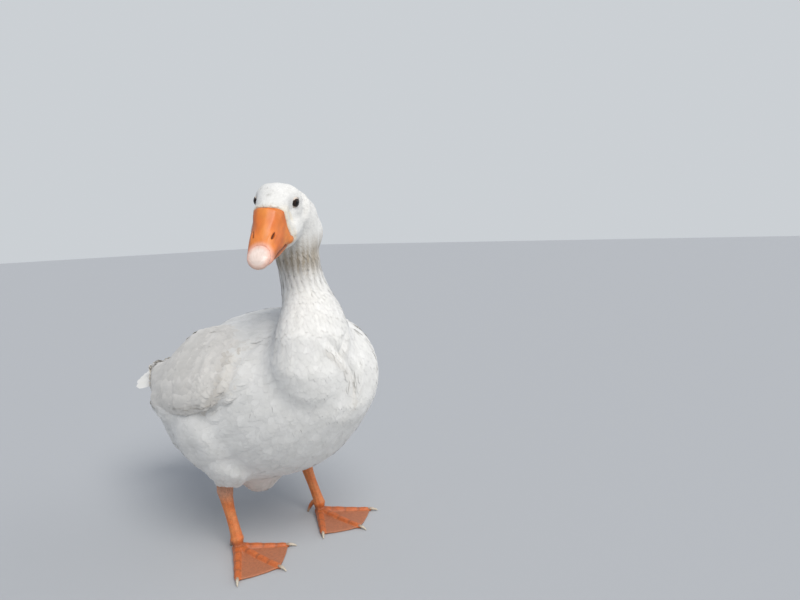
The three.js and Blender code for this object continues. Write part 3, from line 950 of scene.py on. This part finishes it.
# Sizes in mm of what grows in each region: spacing, length, half width, rise of the tip.
SIZES = {
    "head": (1.5, 5.8, 1.55, 0.12),
    "neck": (2.9, 16, 2.6, 0.22),
    "trunk": (4.9, 34, 7.4, 0.2),
    "tail": (8, 40, 8, 0.3),
    "wing": (7.2, 42, 9, 0.25),
    "thigh": (4.6, 28, 5.6, 0.3),
}
sizes = [sum(SIZES[r][k] * MM * share[r] for r in FLESH) for k in range(4)]
# The neck's feathers grow from small at the head to those of the breast.
grow = step01(0.44, 0.06, neck_t) * share["neck"]
sizes = [a + (SIZES["trunk"][k] - SIZES["neck"][k]) * MM * grow for k, a in enumerate(sizes)]
slim = 1 - 0.45 * step01(0.45, 0.8, neck_t) * share["neck"]
# The shoulder's are smaller than those toward the wing's tip.
slim = slim * (1 - 0.42 * step01(0.02, -0.10, y) * share["wing"])
slim = slim * (1 - 0.35 * step01(0.16, 0.11, z) * share["thigh"]) * (1 - 0.35 * hang)
eye_far = np.minimum(*[np.linalg.norm(form.co - e, axis=1) for e in eye_centres])
slim = slim * (0.55 + 0.45 * step01(7.5 * MM, 14 * MM, eye_far))
spacing, size_long, size_wide, tip_rise = (s * slim for s in sizes)

OVER_BILL = 0.6 * MM  # how far inside the bill's face feathers still grow
BARE_LID = 8.3 * MM  # the radius round each eye where none do

most = np.stack([share[r] for r in FLESH]).argmax(0)
region = {r: most == k for k, r in enumerate(FLESH)}
bare = (gap_to_bill < -OVER_BILL) | (eye_far < BARE_LID) | (on_wings & (y > WING_COAT_END))


def all_of(name, count):
    """The shares of so many feathers that grow in one region."""
    return {r: np.full(count, float(r == name)) for r in FLESH}


def feather_tone(roots, shares):
    """Each feather's colour, a little uneven."""
    return marking(roots, shares) * (1 + 0.03 * rng.normal(0, 1, (len(roots), 1)).clip(-2, 2))


FURROWS = 21  # round the neck


def furrowed(P, v):
    """Gathers the neck's feathers into ridges: their new places, heights and shade."""
    flat = P.reshape(-1, 3)
    t, way, offset = along_neck(flat)
    angle = round_neck(way, offset)
    phase = FURROWS * angle + 1.6 * np.sin(9 * t) + 0.7 * np.sin(3 * angle + 20 * t)
    strength = step01(0.38, 0.62, t) * step01(0.82, 0.68, t)
    round_it = unit(np.cross(way, offset))
    aside = -0.95 * MM * np.sin(phase) * strength
    flat = flat + round_it * (aside * np.tile(v, len(P)))[:, None]
    shape = P.shape[:2]
    high = (0.45 * MM * strength * (np.cos(phase) - 0.35)).reshape(shape)
    # Painted shade in the hollows between the ridges.
    furrow_shade = (strength * (0.5 - 0.5 * np.cos(phase)) ** 1.5).reshape(shape)
    return flat.reshape(P.shape), high, furrow_shade[:, len(v) // 2]


def ripple(P):
    """How the wings' rows of feathers rise and fall a little, along each feather."""
    back, up = P[..., 1] / MM, P[..., 2] / MM
    wander = 5 * np.sin(up / 17 + back / 31) + 3 * np.sin(up / 7.3)
    return 0.45 * MM * np.sin((back + 0.55 * up + wander) / 2.9) * step01(150, 90, back)


def coat(where, vane, yaw=0.07, root=1.0, furrows=False):
    """The coat where it grows on the form; root is how deep its feathers start, in mm."""
    weight = (where & ~bare).astype(float)
    place, face = form.scatter(weight, spacing)
    count = len(place)
    fields = np.stack([size_long, size_wide, tip_rise, shade, fluff, *share.values()], 1)
    long, wide, tip, fold_shade, loose, *parts = form.read(place, face, fields)[0].T
    shares = dict(zip(FLESH, parts))
    vary = rng.normal(0, 1, (count, 3))
    long = long * (1 + 0.10 * np.clip(vary[:, 0], -2, 2))
    wide = wide * (1 + 0.08 * np.clip(vary[:, 1], -2, 2))
    turn_by = (yaw + 0.12 * loose.clip(0, 3)) * np.clip(vary[:, 2], -2, 2)
    P, N, D = march(place, face, long, vane, turn_by)
    base = np.minimum(root * MM, 0.13 * long)
    rise = -base[:, None] * (1 - vane.v[None]) ** 1.5 + tip[:, None] * vane.v[None]
    rise = rise + (rng.random(count) * 0.10 * MM)[:, None]
    rise = rise + MM * loose[:, None] * rng.random((count, 1)) * vane.v[None] ** 2
    tone = feather_tone(place, shares)
    # Painted shade: feathers deep in a fold are darker.
    tone = mix(tone, tone * PAINTED_FOLD_SHADE, 0.35 * fold_shade ** 1.5)
    rise = rise + ripple(P) * shares["wing"][:, None]
    if furrows:
        P, high, furrow_shade = furrowed(P, vane.v)
        rise = rise + high
        # Painted shade between the neck's ridges.
        tone = mix(tone, tone * PAINTED_FURROW_SHADE, 0.18 * furrow_shade)
    return build(vane, P, N, D, long, wide, rise - 0.5 * MM, tone, shares)


# The folded wing's rows of long feathers: primaries first, then the long inner feathers over them,
# then two rows of coverts. Each has a number of feathers, its reach over the wing's height from -1
# to 1, the places its roots and its tips run between, its feathers' half width and their height,
# both in mm.
WING_ROWS = (
    (9, (-0.70, 0.60), (0.075, 0.110), (0.185, 0.246), 8.5, 0.7),
    (14, (-0.92, 0.74), (0.015, 0.060), (0.095, 0.205), 11.0, 0.9),
    (15, (-0.92, 0.80), (-0.030, 0.000), (0.038, 0.090), 10.5, 1.0),
    (16, (-0.92, 0.84), (-0.064, -0.040), (-0.006, 0.022), 9.5, 0.9),
)
WING_LEAN = -0.05

# The tail's layers: number of feathers, spread to each side in degrees, places of the roots and of
# the middle tip, half width and height in mm.
TAIL_LAYERS = (
    (12, 26, 0.135, 0.2558, 14.5, 0.0),
    (11, 24, 0.13, 0.222, 13, 3.0),
    (10, 21, 0.115, 0.190, 13, 6.0),
    (11, 24, 0.14, 0.228, 12.5, -3.0),
    (10, 20, 0.125, 0.200, 12.5, -6.0),
)
TAIL_LEVEL = 0.2375
TAIL_DROOP = 5.0  # it falls by this times the square of the way to the side, in metres


def on_wing(sign, y_at, b):
    """Places on the wing's outer face, b running from 1 at the top edge to -1 at the bottom."""
    x_at, z_at, thin, up, down = (
        np.interp(y_at, WING_LINE[:, 0], WING_LINE[:, k]) for k in range(1, 6))
    out = np.array([sign * math.cos(WING_TILT), 0, math.sin(WING_TILT)])
    rise = np.array([-sign * math.sin(WING_TILT), 0, math.cos(WING_TILT)])
    middle = np.stack([MIDDLE_X + sign * x_at, y_at, z_at], -1)
    reach = np.where(b > 0, up, down)
    return (middle + rise * (b * reach)[..., None]
            + out * (thin * np.sqrt(np.clip(1 - b * b, 0.05, 1)))[..., None])


def wing_row(sign, vane, b, start, end, width, rise):
    """A row of long feathers on one folded wing; each value is one number a feather."""
    place, face, _ = form.nearest(on_wing(sign, start, b))
    P, N, D = march(place, face, end - start, vane, 0.02 * rng.normal(size=len(b)), 0.6, True)
    shares = all_of("wing", len(b))
    high = rise[:, None] - 1.8 * MM * (1 - vane.v[None]) + ripple(P)
    return build(vane, P, N, D, end - start, width, high, feather_tone(P[:, 0], shares), shares,
                 lean=WING_LEAN * sign, drape=True)


def wing_feathers(sign, vane):
    """All rows of long feathers on one wing."""
    sets = []
    for count, (b0, b1), (y0, y1), (end0, end1), wide_mm, high in WING_ROWS:
        k = np.linspace(0, 1, count)
        start = y0 + (y1 - y0) * k + 0.003 * rng.normal(size=count)
        end = end0 + (end1 - end0) * k ** 0.8 + 0.004 * rng.normal(size=count)
        sets.append(wing_row(sign, vane, b0 + (b1 - b0) * k, start, end,
                             np.full(count, wide_mm * MM), (high + 0.03 * np.arange(count)) * MM))
    return merged(sets)


def tail_fan(vane):
    """The tail feathers, fanned from the stump, and those that lie over and under their roots."""
    sets = []
    for count, spread, start, end, wide_mm, high in TAIL_LAYERS:
        fan = np.radians(np.linspace(-spread, spread, count)) * (1 + 0.03 * rng.normal(size=count))
        reach = (end - start) * (1 - 0.11 * (fan / fan.max()) ** 2 + 0.012 * rng.normal(size=count))
        way = np.stack([np.sin(fan), np.cos(fan), np.full(count, -0.05)], 1)
        root = np.array([MIDDLE_X, start, TAIL_LEVEL]) + way * [0.015, 0, 0]
        P = root[:, None] + way[:, None] * (reach[:, None] * vane.v)[..., None]
        aside = P[..., 0] - MIDDLE_X
        P[..., 2] += high * MM * (1 - 0.75 * vane.v) - TAIL_DROOP * aside ** 2
        D = unit(np.gradient(P, axis=1))
        up = (aside / 0.075)[..., None] * [1, 0, 0] + [0, 0, 1]
        N = unit(np.cross(D, np.cross(up, D)))
        # The middle feather lies on top of its layer, or lowest under the tail.
        order = count / 2 - np.abs(np.arange(count) - count / 2)
        stack = 0.25 * MM * order * (1 if high >= 0 else -1)
        shares = all_of("tail", count)
        sets.append(build(
            vane, P, N, D, reach, np.full(count, wide_mm * MM),
            np.repeat(stack[:, None], len(vane.v), 1), feather_tone(P[:, 0], shares), shares))
    return merged(sets)


# ---------------- materials

def material(name, **values):
    """A Principled material with constant inputs, its node tree and its shader."""
    m = bpy.data.materials.new(name)
    m.use_nodes = True
    tree = m.node_tree
    shader = tree.nodes["Principled BSDF"]
    for key, value in values.items():
        shader.inputs[key.replace("_", " ")].default_value = value
    return m, tree, shader


def add_node(tree, kind, settings=(), sources=()):
    """A node with its settings, and its inputs joined to their sources, by name or number."""
    node = tree.nodes.new(kind)
    for key, value in dict(settings).items():
        if isinstance(key, str) and hasattr(node, key):
            setattr(node, key, value)
        else:
            node.inputs[key].default_value = value
    for key, source in dict(sources).items():
        tree.links.new(source, node.inputs[key])
    return node


def multiply(tree, a, b):
    how = {"data_type": "RGBA", "blend_type": "MULTIPLY", 0: 1.0}
    return add_node(tree, "ShaderNodeMix", how, {6: a, 7: b}).outputs[2]


def ramp(tree, source, *stops):
    node = add_node(tree, "ShaderNodeValToRGB", (), {0: source})
    for mark, (place, rgb) in zip(node.color_ramp.elements, stops):
        mark.position = place
        mark.color = (*rgb, 1)
    return node.outputs[0]


def finish_look(tree, shader, colour, height, strength, distance):
    """Joins the colour and the fine relief to the shader."""
    bump = add_node(tree, "ShaderNodeBump", {"Strength": strength, "Distance": distance},
                    {"Height": height})
    tree.links.new(colour, shader.inputs["Base Color"])
    tree.links.new(bump.outputs["Normal"], shader.inputs["Normal"])


def plumage_material(name, barb, strength, **values):
    """White vanes: each barb is a fine ridge that slants from the shaft to the edge."""
    m, tree, shader = material(name, Roughness=0.78, IOR=1.35, **values)
    tone = add_node(tree, "ShaderNodeAttribute", {"attribute_name": "tone"})
    place = add_node(tree, "ShaderNodeUVMap", {"uv_map": "vane"})
    xyz = add_node(tree, "ShaderNodeSeparateXYZ", (), {0: place.outputs[0]})
    side = add_node(tree, "ShaderNodeMath", {"operation": "ABSOLUTE"}, {0: xyz.outputs[0]})
    slant = add_node(tree, "ShaderNodeMath", {"operation": "MULTIPLY_ADD", 1: -1.3},
                     {0: side.outputs[0], 2: xyz.outputs[1]})
    lines = add_node(tree, "ShaderNodeCombineXYZ", (), {"Y": slant.outputs[0]})
    wave = add_node(
        tree, "ShaderNodeTexWave",
        {"bands_direction": "Y", "Scale": barb, "Distortion": 1.2, "Detail": 1.0,
         "Detail Scale": 2.0},
        {"Vector": lines.outputs[0]})
    coords = add_node(tree, "ShaderNodeTexCoord")
    mottle = add_node(tree, "ShaderNodeTexNoise", {"Scale": 60.0, "Detail": 3.0},
                      {"Vector": coords.outputs["Object"]})
    soft = ramp(tree, mottle.outputs[0], (0.3, (0.93, 0.93, 0.92)), (0.7, (1, 1, 1)))
    streak = ramp(tree, wave.outputs[1], (0.0, (0.98, 0.978, 0.973)), (1.0, (1, 1, 1)))
    colour = multiply(tree, multiply(tree, tone.outputs["Color"], soft), streak)
    finish_look(tree, shader, colour, wave.outputs[1], strength, 0.4 * MM)
    return m


def tinted(name, mottle, relief, depth, rough, dim=0.82, stretch=(1, 1, 1), in_lie=False,
           cells=False, **values):
    """The tone attribute with mottling, and fine relief of some depth in mm. Both lie in the
    mesh's own map if in_lie, and rough gives the least and the greatest roughness."""
    m, tree, shader = material(name, **values)
    tone = add_node(tree, "ShaderNodeAttribute", {"attribute_name": "tone"})
    if in_lie:
        place = add_node(tree, "ShaderNodeUVMap", {"uv_map": "lie"}).outputs[0]
    else:
        place = add_node(tree, "ShaderNodeTexCoord").outputs["Object"]
    lay = add_node(tree, "ShaderNodeMapping", {"Scale": stretch}, {"Vector": place}).outputs[0]
    wide = add_node(tree, "ShaderNodeTexNoise", {"Scale": mottle, "Detail": 4.0},
                    {"Vector": lay}).outputs[0]
    kind = "ShaderNodeTexVoronoi" if cells else "ShaderNodeTexNoise"
    fine = add_node(tree, kind, {"Scale": relief}, {"Vector": lay}).outputs[0]
    light = ramp(tree, wide, (0.32, (dim, dim * 0.97, dim * 0.94)), (0.68, (1.06, 1.06, 1.06)))
    spread = add_node(
        tree, "ShaderNodeMapRange",
        {"From Min": 0.3, "From Max": 0.7, "To Min": rough[0], "To Max": rough[1]},
        {"Value": wide})
    tree.links.new(spread.outputs[0], shader.inputs["Roughness"])
    finish_look(tree, shader, multiply(tree, tone.outputs["Color"], light), fine, 0.5, depth * MM)
    return m


plumage = plumage_material("plumage", 4.4, 0.09, Sheen_Weight=0.15, Sheen_Roughness=0.6)
flight = plumage_material("flight_feathers", 3.6, 0.18)
skin_look = tinted("skin", 90, 900, 0.3, (0.55, 0.7), cells=True)
leg_look = tinted("leg_skin", 260, 1400, 0.15, (0.42, 0.6), cells=True)
bill_look = tinted("bill", 1.6, 9, 0.18, (0.36, 0.5), 0.86, (1.6, 0.55, 1), in_lie=True)
nail_look = tinted("bill_nail", 2.2, 8, 0.12, (0.28, 0.4), 0.92, (1.4, 0.7, 1), in_lie=True)
horn_look = tinted("horn", 700, 2600, 0.1, (0.3, 0.45), 0.7, (1, 0.3, 1))
eye_look = tinted("eye", 30, 60, 0.02, (0.03, 0.06), 0.45, (1, 0.08, 1), in_lie=True, IOR=1.38)

# ---------------- the legs' shape

# Each foot's joint, in mm, and its toes: degrees away from the body, and length in mm.
FOOT_JOINT = {"left": (98.8, -54.4), "right": (-55.2, -37.4)}
TOES = {"inner": (-41, 76), "middle": (0, 92), "outer": (40, 86)}
FOOT_TURN = {"left": 0, "right": 2}  # degrees
FOOT_SWELL = 0.3 * MM
LEG_VOXEL, CLAW_VOXEL = 0.75 * MM, 0.4 * MM
SCALES = 2.3 * MM
WEB_SCALES = 1.3 * MM


def leg_shape(side):
    """One leg's scaly skin: its surface and its colours."""
    parts = [swollen(f"shank_{side}", SWELL), swollen(f"foot_{side}", FOOT_SWELL)]
    leg = Surface(*remeshed(*merged(parts), LEG_VOXEL))
    leg.smooth(8, 0.6, -0.62)
    leg.settle()
    mm = leg.co / MM
    off = mm[:, :2] - FOOT_JOINT[side]
    toe_gap = np.full(len(mm), np.inf)
    along_toe = np.zeros(len(mm))
    for spread, length in TOES.values():
        a = math.radians(spread * SIDES[side] + FOOT_TURN[side])
        way = np.array([math.sin(a), -math.cos(a)])
        reach = (off @ way).clip(0, length)
        gap = np.linalg.norm(off - reach[:, None] * way, axis=1)
        closer = gap < toe_gap
        along_toe[closer] = (reach / length)[closer]
        toe_gap = np.minimum(gap, toe_gap)
    low = step01(22, 13, mm[:, 2])
    ahead = step01(4, 14, -off[:, 1])
    web = low * ahead * step01(4.4, 6.6, toe_gap)
    hind = step01(12, 17, off[:, 1]) * step01(30, 22, mm[:, 2])
    above = np.clip(leg.normal[:, 2], 0, 1)
    toe = low * (1 - web)
    # Scales press into the skin, and fine folds cross the webs.
    cuts = leg.scale(1 - 0.85 * web, SCALES, 0.22 * MM, metric=(1, 1.5, 1.7))
    reach = np.linalg.norm(off, axis=1)
    waves = np.sin(reach * 2.3 + 1.2 * np.sin(off[:, 0] * 0.35) + 0.8 * np.sin(off[:, 1] * 0.5))
    leg.co += leg.normal * (web * above * waves * 0.10 * MM)[:, None]
    fine = leg.scale(web, WEB_SCALES, 0.10 * MM)
    uneven = np.sin(mm[:, 2] * 0.23 + 2 * np.sin(mm[:, 0] * 0.2)) * np.sin(mm[:, 1] * 0.19 + 1)
    knots = toe * bell((along_toe * 4 + 0.5) % 1 - 0.5, 0.10) * step01(0.1, 0.2, along_toe)
    rgb = painted(
        len(mm), LEG,
        (LEG_LIGHT, 0.5 + 0.5 * uneven),
        (TOE, 0.75 * toe),
        (LEG_TOP, 0.9 * step01(70, 92, mm[:, 2])),
        (WEB, 0.9 * web),
        (TOE_JOINT, 0.5 * knots + 0.45 * low * bell(reach - 9, 3.5)),
        (HIND_TOE, 0.8 * hind * step01(12, 3, mm[:, 2])))
    rgb = mix(rgb, rgb * SCALE_TINT, (0.6 * cuts + 0.4 * fine * web).clip(0, 1))
    rgb = mix(rgb, np.array(SOLE), 0.5 * step01(2.5, 0.3, mm[:, 2]))
    return leg.co, leg.quads, rgb


# ---------------- the eyes and their lids

# The lid's rings from the opening outward: mm from the eye's axis, and mm over the eyeball.
LID = ((4.95, -0.22), (5.20, 0.20), (5.50, 0.42), (5.95, 0.50), (6.30, 0.45), (6.65, 0.35),
       (7.0, 0.35), (7.6, 0.35), (8.6, 0.35), (10.2, 0.35))
BULGE = 0.7 * MM  # how much further out than in the CAD the eyeballs sit


def eye_axis(centre):
    """The way an eye looks: out of the face there, and a little forward."""
    near = np.linalg.norm(form.co - centre, axis=1) < 9.5 * MM
    side = np.sign((centre - gape) @ head_axes[:, 0])
    axis = unit(form.normal[near].mean(0))
    return unit(axis + 0.30 * side * head_axes[:, 0] - 0.42 * head_axes[:, 1])


def eye_ways(axis, around):
    """For each angle round the eye's axis, the way straight out from it."""
    up = unit(head_axes[:, 2] - axis * dot(axis, head_axes[:, 2]))
    side = np.cross(up, axis)
    return np.cos(around)[:, None] * side + np.sin(around)[:, None] * up


def ring_quads(rows, cols):
    """The quads of so many closed rings of corners, each ring joined to the next."""
    k, j = np.meshgrid(np.arange(rows - 1), np.arange(cols), indexing="ij")
    n = (j + 1) % cols
    return np.stack([k * cols + j, k * cols + n, (k + 1) * cols + n, (k + 1) * cols + j],
                    -1).reshape(-1, 4)


def eyeball(centre, axis):
    """The ball with its raised cornea, pupil and iris."""
    rows, cols = 44, 64
    polar = np.linspace(0.004, np.pi - 0.004, rows)
    around = np.linspace(0, 2 * np.pi, cols, endpoint=False)
    th, ph = (g.ravel() for g in np.meshgrid(polar, around, indexing="ij"))
    radius = EYE_RADIUS * HEAD_SIZE * (1 + 0.018 * bell(th, 0.5))
    co = centre + radius[:, None] * (
        np.cos(th)[:, None] * axis + np.sin(th)[:, None] * eye_ways(axis, ph))
    degrees = np.degrees(th)
    rgb = painted(
        len(co), IRIS,
        (IRIS_EDGE, step01(30, 40, degrees)),
        (PUPIL, step01(24, 21, degrees)),
        (EYE_BACK, step01(46, 54, degrees)))
    me = new_mesh("eyeball", co, ring_quads(rows, cols)[:, ::-1], rgb)
    set_uv(me, "lie", np.stack([ph / 6.3, th], 1))
    return me


def lids(centre, axis):
    """A soft fleshy rim that opens on the eyeball and runs out under the feathers."""
    cols = 72
    around = np.linspace(0, 2 * np.pi, cols, endpoint=False)
    ways = eye_ways(axis, around)
    radius = EYE_RADIUS * HEAD_SIZE / MM
    # A little longer than high, with a flatter upper lid.
    open_by = 1 + 0.075 * np.cos(around) ** 4 - 0.07 * np.abs(np.sin(around)) ** 2
    open_by -= 0.03 * np.clip(np.sin(around), 0, 1)
    fore = -(ways @ head_axes[:, 1])
    open_by += 0.17 * np.clip(fore, 0, 1) ** 3  # the front corner is drawn out
    rows = []
    ground = []
    for out in ways:
        start = Vector(centre + out * 9.4 * MM + axis * 14 * MM)
        hit = form.tree.ray_cast(start, Vector(-axis))[0]
        ground.append(4.2 if hit is None else (np.array(hit) - centre) @ axis / MM)
    ground = np.array(ground)
    for _ in range(4):
        ground = (ground + np.roll(ground, 1) + np.roll(ground, -1)) / 3
    for k, (far, crest) in enumerate(LID):
        reach = far * mix(open_by, 1.0, step01(6.3, 8.6, far))
        ball = np.sqrt(np.maximum(radius ** 2 - reach ** 2, 0))
        blend = step01(5.0, 9.0, far)
        high = mix(ball + crest, ground - 0.3 - 0.7 * blend, blend)
        high = np.maximum(high, (ball + min(crest, 0.3)) * (ball > 0))
        wrinkle = 0.07 * np.sin(k * 2.6 + 3 * np.sin(2 * around)) * (k > 2)
        rows.append(centre + ((high + wrinkle) * MM)[:, None] * axis + (reach * MM)[:, None] * ways)
    far = np.repeat([far for far, _ in LID], cols)
    rgb = painted(
        len(far), LID_SKIN,
        (LID_EDGE, step01(5.45, 5.15, far)),
        (LID_OUTER, step01(5.9, 7.4, far)))
    return np.concatenate(rows), ring_quads(len(LID), cols)[:, ::-1], rgb


# ---------------- the skin piece

eyes = []
for centre in eye_centres:
    axis = eye_axis(centre)
    eyes.append((centre + axis * BULGE, axis))
skin_sets = [(skin_co, form.quads, marking(form.co, share) * SKIN_TINT)]
skin_sets += [lids(*eye) for eye in eyes]
skin_faces = sum(len(quads) for _, quads, _ in skin_sets)
skin_sets += [leg_shape(side) for side in SIDES]
skin_me = new_mesh("skin", *merged(skin_sets))
skin_me.polygons.foreach_set(
    "material_index", (np.arange(len(skin_me.polygons)) >= skin_faces).astype(np.int32))
SKIN_NODES = ["trunk", "neck_lower", "neck_upper", "head", "tail"] + [
    f"{n}_{side}" for n in ("wing", "thigh", "shank", "foot") for side in SIDES]
add_piece("skin", skin_me, [skin_look, leg_look], "leg_skin", *SKIN_NODES)

# ---------------- eyes, bill and claws

for side, eye in zip(SIDES, eyes):
    add_piece(f"eyeball_{side}", eyeball(*eye), [eye_look], "eyes", f"eye_{side}")

for node, (bill, h, rgb) in bills.items():
    me = new_mesh(node + "_horn", bill.co, bill.quads, rgb)
    round_it = np.arctan2(h[:, 0], h[:, 2] + 1) * 1.5
    set_uv(me, "lie", np.stack([round_it, -h[:, 1] / 10], 1))
    look, slot = (nail_look, "bill_nail") if node == "bill_nail" else (bill_look, "bill")
    add_piece(node + "_horn", me, [look], slot, node)

for side in SIDES:
    for toe in TOES:
        claw = Surface(*remeshed(*node_mesh(f"claw_{toe}_{side}"), CLAW_VOXEL))
        claw.smooth(6)
        reach = np.linalg.norm(claw.co[:, :2] / MM - FOOT_JOINT[side], axis=1)
        tip = (reach - reach.min()) / np.ptp(reach)
        rgb = painted(len(tip), CLAW, (CLAW_TIP, step01(0.05, 0.6, tip)))
        me = new_mesh(f"horn_{toe}_{side}", claw.co, claw.quads, rgb)
        add_piece(f"horn_{toe}_{side}", me, [horn_look], "claws", f"claw_{toe}_{side}")

# ---------------- the coat pieces

slender = region["neck"] & (neck_t > 0.30)
body = region["trunk"] | region["neck"] & ~slender
breast = body & (y < -0.04)
belly = region["trunk"] & ~breast & (form.normal[:, 2] < 0.1)
back = body & ~breast & ~belly
for name, vane, where, how in (
    ("head", FACE_VANE, region["head"], {"root": 0.5}),
    ("neck", NECK_VANE, slender, {"furrows": True}),
    ("breast", BODY_VANE, breast, {}),
    ("belly", BODY_VANE, belly, {}),
    ("back", BODY_VANE, back | region["tail"], {}),
    ("thighs", BODY_VANE, region["thigh"], {"yaw": 0.16}),
):
    coat_piece(f"coat_{name}", vane, coat(where, vane, **how), plumage, "plumage")
for side, sign in SIDES.items():
    own_wing = region["wing"] & (left_side == sign)
    coat_piece(f"coat_wing_{side}", BODY_VANE, coat(own_wing, BODY_VANE),
               flight, "flight_feathers")
    coat_piece(f"long_feathers_{side}", LONG_VANE, wing_feathers(sign, LONG_VANE),
               flight, "flight_feathers")
coat_piece("tail_feathers", LONG_VANE, tail_fan(LONG_VANE), flight, "flight_feathers")

# ---------------- floor, lights and camera

FLOOR_SIZE = 30
FLOOR_GREY = (0.44, 0.45, 0.46, 1)

bpy.ops.mesh.primitive_plane_add(size=FLOOR_SIZE)
floor = bpy.context.object
floor.name = "floor"
floor.data.materials.append(material("floor", Roughness=0.9, Base_Color=FLOOR_GREY)[0])

SKY = (0.80, 0.87, 1.0, 1)
BACKDROP = (0.60, 0.63, 0.66, 1)

# The world lights the bird a little blue, and the camera sees it as grey.
world = bpy.data.worlds.new("studio")
scene.world = world
world.use_nodes = True
tree = world.node_tree
sky = tree.nodes["Background"]
sky.inputs["Color"].default_value = SKY
sky.inputs["Strength"].default_value = 0.5
seen = add_node(tree, "ShaderNodeBackground", {"Color": BACKDROP})
path = add_node(tree, "ShaderNodeLightPath")
pick = add_node(tree, "ShaderNodeMixShader", (), {
    0: path.outputs["Is Camera Ray"], 1: sky.outputs[0], 2: seen.outputs[0]})
tree.links.new(pick.outputs[0], tree.nodes["World Output"].inputs[0])


def lamp(name, comes_from, softness, strength, colour=(1, 1, 1)):
    """A sun. Its softness is the angle that it fills in the sky, in degrees."""
    data = bpy.data.lights.new(name, "SUN")
    data.angle, data.energy, data.color = math.radians(softness), strength, colour
    ob = new_object(name, data)
    ob.rotation_mode = "QUATERNION"
    ob.rotation_quaternion = Vector(comes_from).to_track_quat("Z", "Y")


lamp("key", (-0.40, -0.95, 1.1), 36, 2.55, (1, 0.985, 0.96))
lamp("fill", (1.0, -0.9, 0.5), 60, 0.55)

CAMERA_AT = Vector((-0.5707, -0.7648, 0.470))
CAMERA_WAY = (0.788, 0.616)  # level, to the left and back
CAMERA_DOWN, CAMERA_ROLL = math.radians(6.75), math.radians(2.1)
SENSOR_MM, LENS_MM = 36, 27.18
data = bpy.data.cameras.new("camera")
data.sensor_width, data.lens = SENSOR_MM, LENS_MM
data.clip_start, data.clip_end = 0.05, 60
camera = new_object("camera", data)
scene.camera = camera
ahead = math.cos(CAMERA_DOWN)
forward = Vector((CAMERA_WAY[0] * ahead, CAMERA_WAY[1] * ahead, -math.sin(CAMERA_DOWN)))
forward = forward.normalized()
right = forward.cross(Vector((0, 0, 1))).normalized()
upward = right.cross(forward)
c, s = math.cos(CAMERA_ROLL), math.sin(CAMERA_ROLL)
right, upward = right * c - upward * s, upward * c + right * s
axes = Matrix((right, upward, -forward)).transposed().to_4x4()
camera.matrix_world = Matrix.Translation(CAMERA_AT) @ axes
scene.view_settings.view_transform = "Standard"
